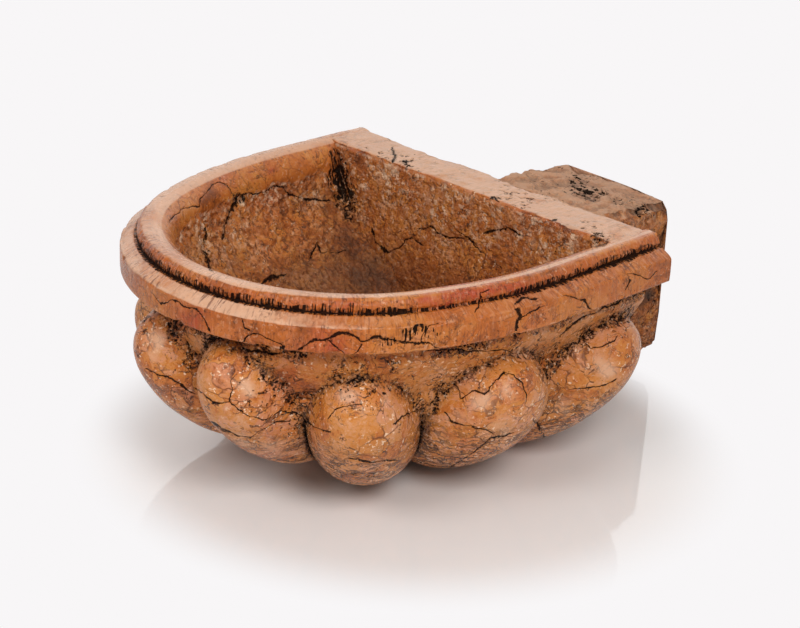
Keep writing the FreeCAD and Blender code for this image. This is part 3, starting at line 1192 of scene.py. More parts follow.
# Lobes: steps along each side of the ball that they are made from, how far they run on inside
# the stone beside them and past the middle, the height over which their upper ends flow into
# the neck, and the reach of their creases.
BALL_STEPS = 104
BALL = ball_directions(round(BALL_STEPS / FINE))
LOBE_ORDER = list(LOBE_ROWS)
SUNK = 6.0
SUNK_PUSH = 1.15
PAST_MIDDLE = -4.0
LOBE_UPPER = (60.0, 95.0)
NEIGHBOUR_JOIN = 3.0
LOBE_CREASE = 6.5
NEIGHBOUR_CREASE = 2.0
LOBE_CRACK_DEPTH = 0.3
LOWEST = 0.5


def carve_lobe(name, slot, material):
    """One lobe: an egg that flows into the neck and is cut back inside its neighbours."""
    egg = EGGS[name]
    centre, axes, half = egg
    directions, faces = BALL
    local = directions * half
    points = centre + local @ axes
    normals = egg_gap(points, egg)[1]
    body = PROFILE.body_gap(points)[0]
    other = all_eggs_gap(points, (name,))
    upper = smooth_step(*LOBE_UPPER, points[:, 2])
    depth = 0.55 * pattern("lobe_swell", points) + 0.12 * pattern("lobe_dents", points)
    depth += upper * soft_join(body, JOIN_REACH) + soft_join(other, NEIGHBOUR_JOIN)
    close = np.exp(-((body - 1.0) / LOBE_CREASE) ** 2) * upper
    crease = np.exp(-(other / NEIGHBOUR_CREASE) ** 2)
    pits = smooth_step(0.12, 0.4, pattern("pits", points))
    specks = smooth_step(0.45, 0.62, pattern("specks", points))
    specks = specks * smooth_step(0.1, 0.5, pattern("speck_swarms", points))
    depth -= close * pits * 1.4 + crease * 0.8 + 0.35 * specks
    side, near = crack_fields(points, normals, LOBE_CRACKS)
    depth -= LOBE_CRACK_DEPTH * crack_cut(near)
    # Dirt in the pits, and painted shade with some dirt where a lobe meets the neck and its
    # neighbours.
    grime = close * (0.28 + 0.45 * pits) + crease * 0.9 + 0.6 * specks
    grime += sooty(spots(points, normals, NECK_DIRT, DIRT_STRAY), points, 0.32, 0.4)
    # Painted highlights, laid as spots in the picture.
    highlight_spots = 0.9 * spots(points, normals, PAINTED_HIGHLIGHTS, PALE_STRAY)
    points = cut_back(points + normals * depth[:, None], name)
    block = Block()
    numbers = block.add(points, {
        "worn": np.clip(0.12 + 0.25 * pattern("lobe_wear", points) + highlight_spots, 0, 1),
        # Painted shade where a lobe meets its neighbours and the neck.
        "stain": np.clip(0.75 * np.exp(-(other / 7.0) ** 2) + 0.5 * close, 0, 1),
        "grime": np.clip(grime, 0, 1.5),
        "red": np.clip(spots(points, normals, RED_PATCHES, RED_STRAY), 0, 1.2),
        "pecked": np.zeros(len(points)),
        "crack_side": side,
        "crack_near": near,
        "stroke": local,
    })
    block.face(outward(numbers[faces], block.points, normals))
    return block.finish(name, slot, material)


def cut_back(points, name):
    """Keeps a lobe from reaching deep into the bowl, its neighbours or the wall."""
    place, hand = name.split("_")[1:]
    gap, out_x, out_y = PROFILE.body_gap(points)
    sunk = np.clip(-SUNK - gap, 0, None) * SUNK_PUSH
    points = points + np.stack([out_x * sunk, out_y * sunk, np.zeros(len(points))], -1)
    for earlier in LOBE_ORDER[:LOBE_ORDER.index(place)]:
        gap, away = egg_gap(points, EGGS[f"lobe_{earlier}_{hand}"])
        points = points + away * np.clip(-SUNK + 1.0 - gap, 0, None)[:, None]
    if place == "front":
        side = 1 if hand == "right" else -1
        points[:, 0] = np.maximum(points[:, 0] * side, PAST_MIDDLE) * side
    points = np.clip(points, STONE_LOW, STONE_HIGH)
    points[:, 2] = np.maximum(points[:, 2], LOWEST)
    return points


def hollow_half(height):
    """Half width of the hollow at a height, over the straight sides."""
    roll = np.arccos(np.clip(1 - (RIM_HEIGHT - height) / ROLL_DROP, 0, 1))
    inset = np.where(height < RIM_HEIGHT - ROLL_DROP, basin_inset(height),
                     ROLL_START + ROLL_WIDTH * np.sin(roll))
    return LIP_HALF_WIDTH - inset


# Back wall: spacing of its rows and columns, rounding of its front and rear arris, how far its
# ends run on inside the hollow's sides, the reach of the chips on both arrises, and its cracks.
WALL_ROW = 1.25
WALL_COLUMN = 1.35
WALL_ROUND = 2.5
REAR_ROUND = 3.0
WALL_OVERLAP = 3.0
WALL_CHIPS = 2.8
REAR_CHIPS = 6.0
WALL_CRACK_DEPTH = 0.5


def carve_back_wall(material):
    """Flat wall behind the hollow, wrapped in one sheet over its face, top and rear."""
    front = WALL_Y - WALL_THICK
    path = evenly(rounded([
        (front, FLOOR_HEIGHT), (front, RIM_HEIGHT, WALL_ROUND), (WALL_Y, RIM_HEIGHT, REAR_ROUND),
        (WALL_Y, FLOOR_HEIGHT)]), WALL_ROW * FINE)
    place, height = path.T
    out_y, out_z = (-part for part in square_to(path))
    columns = round(2 * hollow_half(RIM_HEIGHT) / (WALL_COLUMN * FINE))
    shape = (len(path), columns + 1)
    hidden = WALL_OVERLAP * smooth_step(RIM_HEIGHT, RIM_HEIGHT - 8, height) * (place < front + 20)
    x = (hollow_half(height) + hidden)[:, None] * np.linspace(-1, 1, columns + 1)
    points = np.stack([x.ravel(), spread(place, shape), spread(height, shape)], -1)
    run = spread(distances(path), shape)
    out = np.stack([np.zeros(len(run)), spread(out_y, shape), spread(out_z, shape)], -1)
    face_end = RIM_HEIGHT - FLOOR_HEIGHT
    top_end = face_end + WALL_THICK
    on_face = 1 - smooth_step(face_end - 6, face_end - 1, run)
    on_top = smooth_step(face_end - 1, face_end + 3, run)
    on_top *= 1 - smooth_step(top_end - 3, top_end, run)
    on_rear = smooth_step(top_end, top_end + 4, run)

    broad = pattern("swell", points)
    strokes = tool_marks("wall", points[:, 0], run)
    pits = smooth_step(0.30, 0.62, pattern("wall_pits", points))
    pits = pits * smooth_step(-0.3, 0.4, pattern("wall_swarms", points))
    depth = on_face * (0.9 * pattern("peck_ground", points) + 0.5 * strokes - 0.9)
    depth -= on_top * (0.25 + 0.35 * (broad + 1) * 0.5 + 0.18 * strokes + 0.6 * pits)
    depth -= on_top * 0.35 * np.abs(pattern("wall_dents", points))
    ragged = np.clip(0.5 + pattern("arris_breaks", points), 0, 1.6)
    ragged = ragged + 0.6 * np.clip(pattern("arris_crumbs", points), -0.5, 1)
    depth -= bump_at(run, face_end - 1.0, WALL_CHIPS) * (0.3 + 2.3 * np.clip(ragged, 0, 1.8))
    wavy = np.clip(0.45 + pattern("rear_arris", points), 0, 1.6)
    depth -= bump_at(run, top_end - 1.0, REAR_CHIPS) * (0.6 + 3.4 * wavy)
    depth -= on_rear * rear_roughness(points)
    side, near = np.zeros((2, len(run)))
    below = run < face_end - 1
    for part, cracks in ((below, WALL_CRACKS), (~below, WALL_TOP_CRACKS)):
        side[part], near[part] = crack_fields(points[part], out[part], cracks)
    depth -= WALL_CRACK_DEPTH * crack_cut(near)
    moved = points + out * depth[:, None]
    moved[:, 1] = np.minimum(moved[:, 1], WALL_Y)
    moved[:, 2] = np.clip(moved[:, 2], FLOOR_HEIGHT, RIM_HEIGHT)

    dirt = sooty(spots(points, out, HOLLOW_DIRT, DIRT_STRAY), points, 0.75, 0.75)
    grime = dirt + 0.3 * bump_at(run, top_end, 5.0) * wavy + 0.55 * on_top * pits
    # Painted sheen on the wall's top, from just behind its front arris to its rear arris.
    sheen_from = face_end + 3.0 + 2.0 * pattern("arris_sheen", points)
    worn = smooth_step(face_end + 0.5, sheen_from, run)
    worn *= 1 - smooth_step(top_end - 2.0, top_end + 1, run)
    worn *= 0.95 + 0.25 * broad + 0.3 * pattern("wall_sheen", points)
    red = spots(points, out, RED_PATCHES, RED_STRAY) + 0.5 * bump_at(run, face_end - 2, 4)
    block = Block()
    numbers = block.add(moved, {
        "worn": np.clip(worn, 0, 1),
        "tooled": 0.35 * on_top,
        "grime": np.clip(grime, 0, 1.5),
        "red": np.clip(red, 0, 1),
        "pecked": np.clip(on_face + REAR_PECKED * on_rear, 0, 1),
        "crack_side": side,
        "crack_near": near,
        "stroke": np.stack([points[:, 0], run, run * 0], -1),
    }).reshape(shape)
    middle = (len(path) // 4) * columns + columns // 2
    block.face(outward(grid_quads(numbers), block.points, out, middle))
    block.face(grid_quads(np.stack([numbers[0], numbers[-1]])), None, (0, 0, -1))
    for column, direction in ((0, -1.0), (-1, 1.0)):
        def side_point(flat, direction=direction):
            return np.stack([direction * hollow_half(flat[:, 1]), flat[:, 0], flat[:, 1]], -1)
        block.cap(numbers[:, column], [1, 2], INSIDE_SPACING, (direction, 0, 0), side_point)
    return block.finish("back_wall", "bowl_marble", material)


# How far a scattered point may lie from the middle of its cell, in cells.
CELL_JITTER = 0.45


def cell_gap(points, size, shift):
    """Distance to the nearest of many scattered points, in lengths of size."""
    place = points / size + shift
    corner = np.floor(place).astype(int)
    nearest = np.full(len(points), 9.0)
    for pick in np.ndindex(3, 3, 3):
        cell = corner + np.array(pick) - 1
        keys = [(cell + 11 * axis + 5) % NOISE_CELLS for axis in range(3)]
        jitter = np.stack([NOISE_TABLE[key[:, 0], key[:, 1], key[:, 2]] for key in keys], -1)
        gap = cell + 0.5 + CELL_JITTER * jitter - place
        nearest = np.minimum(nearest, (gap * gap).sum(1))
    return np.sqrt(nearest)


# Tenon: where it starts inside the stoup, the spacing of its points, and how long its broken far
# end is, how much it tapers there and how uneven it is.
TENON_ROOT = -5.0
TENON_SPACING = 1.7
BROKEN_END = 7.0
END_TAPER = 3.0
END_UNEVEN = 1.5

# Hewing: how far noise pushes the marks about, the size of that noise and where it is read.
# Then depth, spacing, place, hollow share and squash of the dips and of the flakes in them.
HEWN_PUSH = 5.0
HEWN_PUSH_SIZE = 14.0
HEWN_PUSH_SHIFTS = (61.0, 71.0, 81.0)
HEWN_MARKS = ((5.4, 23.0, 3.3, 0.7, 0.75), (2.2, 9.5, 9.1, 0.75, 1.0))
HEWN_EDGE = 1.6
HEWN_GRAIN = 0.35


def hewn_depth(points):
    """Depth of a point chisel's broad dips and broken flakes."""
    push = np.stack([noise(points, HEWN_PUSH_SIZE, shift) for shift in HEWN_PUSH_SHIFTS], -1)
    pushed = points + HEWN_PUSH * push
    depth = 0.0
    for deepest, size, shift, share, squash in HEWN_MARKS:
        gap = cell_gap(pushed * np.array([1.0, squash, 1.0]), size, shift)
        depth = depth + deepest * (1 - np.clip(gap / share, 0, 1) ** HEWN_EDGE)
    return depth + HEWN_GRAIN * (1 + pattern("hewn", points))


def carve_tenon(material):
    """Rough block that goes into the wall, in rings from inside the stoup to its broken end."""
    rows = np.array(TENON_ROWS)
    length = rows[-1, 0]
    spacing = TENON_SPACING * FINE
    stations = np.linspace(0, length, round(length / spacing) + 1)
    stations = np.concatenate([[TENON_ROOT], stations])
    left, right, top, bottom, broken = (
        np.interp(stations, rows[:, 0], rows[:, k]) for k in range(1, 6))
    corners = np.stack([np.stack(pair, -1) for pair in (
        (left + broken, top), (right - broken, top), (right, top - broken),
        (right, bottom + broken), (right - broken, bottom), (left + broken, bottom),
        (left, bottom + broken), (left, top - broken))], 1)
    ring = []
    for k in range(8):
        start, end = corners[:, k], corners[:, (k + 1) % 8]
        steps = max(2, round(np.hypot(*(end - start).mean(0)) / spacing))
        for share in np.arange(steps) / steps:
            ring.append(start + (end - start) * share)
    ring = np.stack(ring, 1)
    edge = np.roll(ring, -1, 1) - np.roll(ring, 1, 1)
    edge /= np.linalg.norm(edge, axis=2)[:, :, None]
    shape = ring.shape[:2]
    along = np.broadcast_to(stations[:, None] + WALL_Y, shape)
    points = np.stack([ring[:, :, 0], along, ring[:, :, 1]], -1).reshape(-1, 3)
    normals = np.stack([-edge[:, :, 1], np.zeros(shape), edge[:, :, 0]], -1).reshape(-1, 3)
    depth = hewn_depth(points)
    at_end = smooth_step(length - BROKEN_END, length, points[:, 1] - WALL_Y)
    depth += at_end * END_TAPER * np.clip(pattern("tenon_taper", points), 0, 1)
    moved = points - normals * depth[:, None]
    moved[:, 1] -= at_end * END_UNEVEN * np.clip(0.5 + pattern("tenon_end", points), 0, 1)
    dirt = sooty(spots(points, normals, TENON_DIRT, DIRT_STRAY), points, 0.55, 0.75)
    soot = 0.2 * smooth_step(0.1, 0.7, pattern("tenon_soot", points))
    # Painted light and shade on the hewn relief: ridges and upward faces paler.
    ridges = smooth_step(2.9, 1.2, depth)
    worn = (0.3 + 0.9 * smooth_step(0.5, 0.9, normals[:, 2])) * (0.6 + 0.9 * ridges)
    block = Block()
    numbers = block.add(np.clip(moved, *node_box("wall_tenon")), {
        "worn": np.clip(worn, 0, 1),
        "grime": np.clip(dirt + soot, 0, 1.5),
        # Painted shade in the hewn dips, and stain where the dirt lies.
        "stain": 0.95 * smooth_step(2.6, 5.8, depth) + 0.9 * np.clip(dirt, 0, 1),
        "stroke": points,
    }).reshape(shape)
    around = np.concatenate([numbers, numbers[:, :1]], 1)
    block.face(outward(grid_quads(around), block.points, normals))

    def end_point(flat):
        points = at_depth(flat, WALL_Y + length)
        points[:, 1] -= np.clip(hewn_depth(points) - 0.4, 0, None)
        return points

    def root_point(flat):
        return at_depth(flat, WALL_Y + TENON_ROOT)

    block.cap(numbers[-1], [0, 2], END_SPACING * FINE, (0, 1, 0), end_point)
    block.cap(numbers[0], [0, 2], INSIDE_SPACING, (0, -1, 0), root_point)
    return block.finish("wall_tenon", "hewn_marble", material)


def shade(red, green, blue):
    """Linear colour of a screen colour from 0 to 255."""
    parts = [value / 255 for value in (red, green, blue)]
    return [p / 12.92 if p <= 0.04045 else ((p + 0.055) / 1.055) ** 2.4 for p in parts] + [1.0]


OCHRE = shade(206, 132, 60)
ORANGE = shade(192, 108, 46)
BROWN = shade(136, 72, 32)
UMBER = shade(74, 40, 20)
RED = shade(164, 58, 32)
PALE = shade(228, 192, 166)
ROSE = shade(216, 156, 114)
PINK = shade(212, 146, 114)
CREAM = shade(246, 214, 182)
TAN = shade(216, 154, 112)
BLACK = shade(9, 8, 9)
RUST = shade(92, 42, 18)
WARM = shade(170, 88, 18)
SHADE_AND_STAIN_BROWN = shade(78, 56, 44)

# Sheet under the stoup: half its width in millimetres, its two whites, and the oval round the
# stoup, in metres, that keeps its shadow and reflection, with the share where it starts to fade.
FLOOR_HALF = 6000.0
WHITE = shade(248, 246, 247)
SHEET = shade(246, 243, 242)
FADE_CENTRE = (0.034, -0.026, 0.0)
FADE_TURN = CAMERA_AZIMUTH
FADE_SCALE = (0.285, 0.27, 1.0)
FADE_SHARE = (0.76, 1.06)

# Textures of the finish: size of the lumps in millimetres, detail and roughness.
TEXTURES = {
    "clouds": (46.0, 5.0, 0.58), "mottle": (8.0, 5.0, 0.68), "fine": (2.8, 3.0, 0.65),
    "red_beds": (70.0, 4.0, 0.6), "flecks": (3.4, 2.0, 0.6), "fleck_swarms": (24.0, 3.0, 0.6),
    "pits": (2.6, 3.0, 0.62), "pit_swarms": (30.0, 3.0, 0.6), "seam_swarms": (24.0, 3.0, 0.5),
    "web": (19.0, 3.0, 0.62), "web_swarms": (21.0, 2.0, 0.5), "bedding": (26.0, 4.0, 0.68),
    "shade_and_stain_patches": (12.0, 3.0, 0.6), "pocks": (4.4, 3.0, 0.62), "chips": (5.0, 4.0, 0.72),
    "chip_swarms": (28.0, 3.0, 0.6), "rust": (15.0, 3.0, 0.6), "tooling": (22.0, 3.0, 0.5),
    "wear_and_sheen": (9.0, 4.0, 0.66), "crack_fray": (2.2, 3.0, 0.7), "crack_width": (10.0, 2.0, 0.5),
    "grain": (1.2, 3.0, 0.65), "sheet_gloss": (45.0, 2.0, 0.5), "sheet_grain": (1.6, 2.0, 0.5),
    "sheet_tint": (260.0, 2.0, 0.5),
}

# Width of a nodule.
NODULE = 17.0

# How the places that textures are read from are pushed about: size of the push and its reach.
BROAD_STIR = (36.0, 14.0)
FINE_STIR = (8.0, 3.2)

# Height of the small relief, and of the sheet's, in millimetres.
RELIEF = 0.9
SHEET_RELIEF = 0.01

# Chisel marks in the finish: their scale across and along the cut, detail and roughness.
STROKE_MARKS = ((0.36, 0.06, 1.0), 2.0, 0.55)
TEETH_MARKS = ((0.62, 0.07, 1.0), 1.0, 0.5)


class Graph:
    """Adds and joins the nodes of one material."""

    def __init__(self, material):
        material.use_nodes = True
        self.tree = material.node_tree
        self.tree.nodes.clear()

    def node(self, kind, inputs=None, **settings):
        """A node with its settings and inputs, which are values or other nodes' outputs."""
        node = self.tree.nodes.new(kind)
        for name, value in settings.items():
            setattr(node, name, value)
        for key, value in (inputs or {}).items():
            if isinstance(value, bpy.types.NodeSocket):
                self.tree.links.new(value, node.inputs[key])
            else:
                node.inputs[key].default_value = value
        return node

    def math(self, operation, first, second=0.0):
        """Result of an operation on two numbers."""
        return self.node("ShaderNodeMath", {0: first, 1: second}, operation=operation).outputs[0]

    def add(self, *values):
        """Sum of several numbers."""
        total = values[0]
        for value in values[1:]:
            total = self.math("ADD", total, value)
        return total

    def times(self, *values):
        """Product of several numbers."""
        total = values[0]
        for value in values[1:]:
            total = self.math("MULTIPLY", total, value)
        return total

    def field(self, name, vector=False):
        """One of the fields stored on the mesh."""
        node = self.node("ShaderNodeAttribute", attribute_name=name)
        return node.outputs["Vector" if vector else "Fac"]

    def rise(self, value, low, high, start=0.0, end=1.0):
        """Soft step of a number from low to high."""
        inputs = {"Value": value, "From Min": low, "From Max": high, "To Min": start, "To Max": end}
        node = self.node("ShaderNodeMapRange", inputs, interpolation_type="SMOOTHSTEP")
        return node.outputs["Result"]

    def noise(self, place, size, detail=3.0, roughness=0.5, output="Fac"):
        """Cloudy noise whose lumps are size millimetres across."""
        inputs = {"Vector": place, "Scale": 1 / (size * MM), "Detail": detail,
                  "Roughness": roughness}
        return self.node("ShaderNodeTexNoise", inputs).outputs[output]

    def texture(self, name, place):
        """One of the finish's textures."""
        return self.noise(place, *TEXTURES[name])

    def swarms(self, name, place, *limits):
        """A texture raised to separate swarms; the limits are those of rise."""
        return self.rise(self.texture(name, place), *limits)

    def swing(self, value, reach):
        """A texture made to swing round 0."""
        return self.times(self.add(value, -0.5), reach)

    def ridge(self, value):
        """Distance of a texture from its middle, so that its middle makes fine lines."""
        return self.math("ABSOLUTE", self.add(value, -0.5))

    def marks(self, scale, detail, roughness):
        """Streaks that follow the cuts of a chisel."""
        drawn = self.node("ShaderNodeMapping", {
            "Vector": self.field("stroke", True), "Scale": scale}).outputs[0]
        return self.node("ShaderNodeTexNoise", {
            "Vector": drawn, "Scale": 1.0, "Detail": detail, "Roughness": roughness,
        }).outputs["Fac"]

    def coat(self, share, tint):
        """Lays a tint over the colour so far."""
        self.colour = self.mix(share, self.colour, tint)

    def cells(self, place, size, feature="F1", output="Distance"):
        """Cells size millimetres across."""
        inputs = {"Vector": place, "Scale": 1 / (size * MM)}
        return self.node("ShaderNodeTexVoronoi", inputs, feature=feature).outputs[output]

    def stirred(self, place, size, reach):
        """Place pushed about by noise, by up to reach millimetres."""
        push = self.noise(place, size, 3.0, 0.55, "Color")
        centred = self.node("ShaderNodeVectorMath", {0: push, 1: (0.5, 0.5, 0.5)},
                            operation="SUBTRACT").outputs[0]
        scaled = self.node("ShaderNodeVectorMath", {0: centred, "Scale": 2 * reach * MM},
                           operation="SCALE").outputs[0]
        return self.node("ShaderNodeVectorMath", {0: place, 1: scaled}, operation="ADD").outputs[0]

    def mix(self, share, first, second):
        """Blend of two colours."""
        node = self.node("ShaderNodeMix", data_type="RGBA")
        for socket, value in zip((node.inputs[0], node.inputs[6], node.inputs[7]),
                                 (share, first, second)):
            if isinstance(value, bpy.types.NodeSocket):
                self.tree.links.new(value, socket)
            else:
                socket.default_value = value
        return node.outputs[2]

    def end(self, kind, shader):
        """Output node of the material or world."""
        output = self.node(kind)
        self.tree.links.new(shader.outputs[0], output.inputs["Surface"])

    def ramp(self, value, *stops):
        """Colour that changes with a number."""
        node = self.node("ShaderNodeValToRGB", {"Fac": value})
        slots = node.color_ramp.elements
        while len(slots) < len(stops):
            slots.new(0.5)
        for slot, (position, colour) in zip(slots, stops):
            slot.position = position
            slot.color = colour
        return node.outputs["Color"]


# How each slot differs: roughness, brownness, warmth, grain, tool marks in its dirt, specks,
# nodules, the painted shade low in the hollow, how mottled it is, and the size of its crust.
FINISHES = {
    "rim_marble": {
        "rough": 0.24, "brown": -0.02, "warm": 0.08, "grain": 0.4, "strokes": 1.0, "specks": 0.3,
        "nodules": 0.25, "deep": 0.4, "mottle": 0.5, "crust": 2.9},
    "bowl_marble": {
        "rough": 0.34, "brown": -0.04, "warm": 0.08, "grain": 0.8, "strokes": 0.1, "specks": 1.0,
        "nodules": 0.5, "deep": 1.0, "mottle": 1.1, "crust": 2.1},
    "lobe_marble": {
        "rough": 0.21, "brown": -0.05, "warm": 0.04, "grain": 0.6, "strokes": 0.0, "specks": 1.2,
        "nodules": 1.0, "deep": 0.0, "mottle": 0.85, "crust": 2.0},
    "hewn_marble": {
        "rough": 0.58, "brown": -0.04, "warm": 0.0, "grain": 1.4, "strokes": 0.0, "specks": 0.5,
        "nodules": 0.4, "deep": 0.0, "mottle": 1.2, "crust": 3.2},
}


def marble(slot):
    """Red nodular marble with the finish of one slot."""
    known = bpy.data.materials.get(slot + "_finish")
    if known:
        return known
    finish = FINISHES[slot]
    settings = bpy.context.scene.stoup_stone
    material = bpy.data.materials.new(slot + "_finish")
    graph = Graph(material)
    place = graph.node("ShaderNodeTexCoord").outputs["Object"]
    level = graph.node("ShaderNodeSeparateXYZ", {0: place}).outputs["Z"]
    loose = graph.stirred(place, *BROAD_STIR)
    curly = graph.stirred(loose, *FINE_STIR)
    pecked = graph.field("pecked")
    worn = graph.field("worn")
    grime = graph.field("grime")
    marks = graph.marks(*STROKE_MARKS)
    teeth = graph.marks(*TEETH_MARKS)

    # Nodules of ochre, orange and pink in a browner ground.
    clouds = graph.texture("clouds", loose)
    mottle = graph.texture("mottle", curly)
    fine = graph.texture("fine", curly)
    nodule = graph.node("ShaderNodeSeparateColor", {
        "Color": graph.cells(curly, NODULE, "F1", "Color")}).outputs
    mottled = finish["mottle"]
    tone = graph.add(
        graph.times(clouds, 0.9), graph.times(mottle, 0.75 * mottled),
        graph.times(fine, 0.55 * mottled), graph.times(nodule[0], 0.16 * finish["nodules"]),
        0.03 - 0.65 * mottled - finish["brown"])
    graph.colour = graph.ramp(
        tone, (0.22, UMBER), (0.36, BROWN), (0.48, ORANGE), (0.62, OCHRE), (0.84, ROSE))
    tool = graph.field("tooled")
    graph.coat(graph.add(finish["warm"], graph.times(tool, 0.58 * finish["strokes"])), WARM)
    pinks = graph.times(graph.rise(nodule[1], 0.45, 0.85), graph.rise(mottle, 0.40, 0.60))
    graph.coat(graph.times(pinks, 0.55 * finish["nodules"]), PINK)
    reds = graph.swarms("red_beds", loose, 0.60, 0.74, 0.0, 0.35)
    reds = graph.math("MAXIMUM", reds, graph.times(graph.field("red"), 0.7))
    graph.coat(graph.times(reds, graph.rise(mottle, 0.36, 0.56, 0.3, 1.0)), RED)

    # Light and dark specks in swarms, and dark seams round the nodules.
    flecks = graph.texture("flecks", place)
    swarm = graph.swarms("fleck_swarms", loose, 0.42, 0.62, 0.15, 1.0)
    swarm = graph.math("MAXIMUM", swarm, graph.rise(grime, 0.02, 0.25, 0.0, 0.8))
    light = graph.times(graph.rise(flecks, 0.59, 0.67), swarm, finish["specks"])
    graph.coat(graph.times(light, 0.8), CREAM)
    crease = graph.rise(grime, 0.02, 0.30)
    pits = graph.rise(
        graph.add(graph.texture("pits", place), graph.times(crease, -0.09)), 0.40, 0.32)
    pits = graph.times(pits, graph.math(
        "MAXIMUM", crease, graph.swarms("pit_swarms", loose, 0.44, 0.60, 0.15, 0.9)))
    graph.coat(graph.times(pits, 0.5 + 0.35 * finish["specks"]), UMBER)
    seam = graph.cells(curly, NODULE, "DISTANCE_TO_EDGE")
    broken = graph.swarms("seam_swarms", loose, 0.42, 0.58)
    seams = graph.times(graph.rise(seam, 0.050, 0.012), broken, 0.3 + 0.5 * finish["nodules"])
    graph.coat(graph.times(seams, settings.veins), RUST)
    web = graph.ridge(graph.texture("web", curly))
    webs = graph.times(
        graph.rise(web, 0.016, 0.004), graph.swarms("web_swarms", loose, 0.46, 0.58),
        0.3 + 0.7 * mottled)
    graph.coat(graph.times(webs, 1.1 * settings.veins), UMBER)

    # Streaks that follow the bedding, low on the lobes and under the rim.
    bed = graph.node("ShaderNodeMapping", {"Vector": curly, "Scale": (1.0, 1.0, 3.2)}).outputs[0]
    streak = graph.ridge(graph.texture("bedding", bed))
    eroded = graph.times(
        graph.rise(level, 0.100, 0.060), graph.rise(clouds, 0.36, 0.50), finish["nodules"])
    streaks = graph.times(graph.rise(streak, 0.040, 0.012), eroded)
    graph.coat(graph.times(streaks, 0.85), UMBER)

    # Pecked places, and painted shade low in the hollow.
    patchy = graph.texture("shade_and_stain_patches", loose)
    pock = graph.texture("pocks", place)
    dark = graph.times(pecked, graph.rise(pock, 0.47, 0.39, 0.0, 0.85))
    graph.coat(dark, graph.mix(clouds, UMBER, BROWN))
    chips = graph.texture("chips", place)
    high = graph.rise(graph.add(level, graph.times(clouds, 0.07)), 0.170, 0.230, 0.15, 1.0)
    chipped = graph.rise(graph.add(chips, graph.times(high, 0.05)), 0.54, 0.64)
    scattered = graph.swarms("chip_swarms", loose, 0.38, 0.60, 0.25, 1.0)
    chalk = graph.times(pecked, chipped, scattered, graph.add(0.4, graph.times(high, 0.36)))
    graph.coat(chalk, graph.mix(high, TAN, CREAM))
    rusty = graph.times(pecked, graph.swarms("rust", loose, 0.50, 0.62, 0.0, 0.55))
    graph.coat(rusty, graph.mix(fine, BROWN, ORANGE))
    # Painted shade, darker towards the hollow's floor.
    depth = graph.times(pecked, graph.rise(level, 0.150, 0.095, 0.0, 0.60), finish["deep"])
    graph.coat(depth, graph.mix(graph.rise(fine, 0.36, 0.62), UMBER, BROWN))

    # Painted shade and stains, tooled places, painted sheen and wear, dirt and painted shade, and
    # the cracks.
    # Painted shade in grey-brown: low in the hollow, in the creases by the lobes and in the tenon's
    # dips, where it also stains the dirt.
    stain = graph.times(graph.field("stain"), graph.rise(patchy, 0.3, 0.6, 0.6, 1.0))
    graph.coat(graph.times(stain, 0.8), SHADE_AND_STAIN_BROWN)
    tooled = graph.times(
        graph.math("MAXIMUM", graph.rise(marks, 0.42, 0.36), graph.rise(teeth, 0.42, 0.34)),
        tool, graph.swarms("tooling", loose, 0.38, 0.60, 0.1, 1.0))
    graph.coat(graph.times(graph.rise(marks, 0.55, 0.66), tool, 0.3), ROSE)
    # Painted sheen and highlights, with some wear: pale where the mesh marks them.
    patch = graph.texture("wear_and_sheen", loose)
    share = graph.rise(graph.add(worn, graph.times(patch, 0.9)), 0.7, 1.5)
    graph.coat(graph.times(share, 0.85), graph.mix(patch, PALE, ROSE))
    graph.coat(graph.times(tooled, 0.72), RUST)
    # Black dirt, together with the painted shade under the band and in the creases that the mesh
    # carries with it.
    crust = graph.noise(place, finish["crust"], 3.0, 0.66)
    comb = graph.rise(teeth, 0.44, 0.56)
    spread_out = graph.times(graph.rise(grime, 0.0, 0.2), graph.add(
        graph.swing(crust, 3.3 - 2.3 * finish["strokes"]),
        graph.swing(comb, 1.15 * finish["strokes"])))
    dirt = graph.rise(graph.add(grime, spread_out), 0.50, 0.68)
    dirt = graph.times(dirt, settings.dirt)
    graph.coat(dirt, BLACK)
    fray = graph.swing(graph.texture("crack_fray", place), 3.6)
    beside = graph.math("ABSOLUTE", graph.add(graph.field("crack_side"), fray))
    narrow = graph.swing(graph.texture("crack_width", place), 2.8)
    line = graph.times(
        graph.rise(graph.add(beside, narrow), 0.95, 0.35),
        graph.rise(graph.field("crack_near"), 2.8, 1.6))
    graph.coat(graph.times(line, 0.95), BLACK)

    # Roughness and small relief.
    polish = finish["rough"] / settings.polish
    rough = graph.add(
        polish, graph.times(pecked, 0.10), graph.times(dirt, 0.45), graph.swing(mottle, 0.4),
        graph.times(light, 0.2))
    grain = graph.texture("grain", place)
    relief = graph.add(
        graph.times(grain, graph.add(graph.times(pecked, 0.5), finish["grain"])),
        graph.times(pock, graph.times(pecked, 4.0)), graph.times(chips, graph.times(pecked, 2.4)),
        graph.times(marks, graph.times(tool, 0.8)), graph.times(pits, -0.8),
        graph.times(streaks, -0.9), graph.times(line, -1.0), graph.times(dirt, -0.6),
        graph.times(seams, -0.3))
    bump = graph.node("ShaderNodeBump", {
        "Height": relief, "Distance": RELIEF * MM, "Strength": 1.0}).outputs[0]
    sheen = graph.rise(graph.math("MAXIMUM", dirt, line), 0.2, 0.9, 0.25, 0.03)
    shader = graph.node("ShaderNodeBsdfPrincipled", {
        "Base Color": graph.colour, "Roughness": graph.math("MINIMUM", rough, 0.95),
        "Normal": bump, "Specular IOR Level": sheen})
    graph.end("ShaderNodeOutputMaterial", shader)
    return material


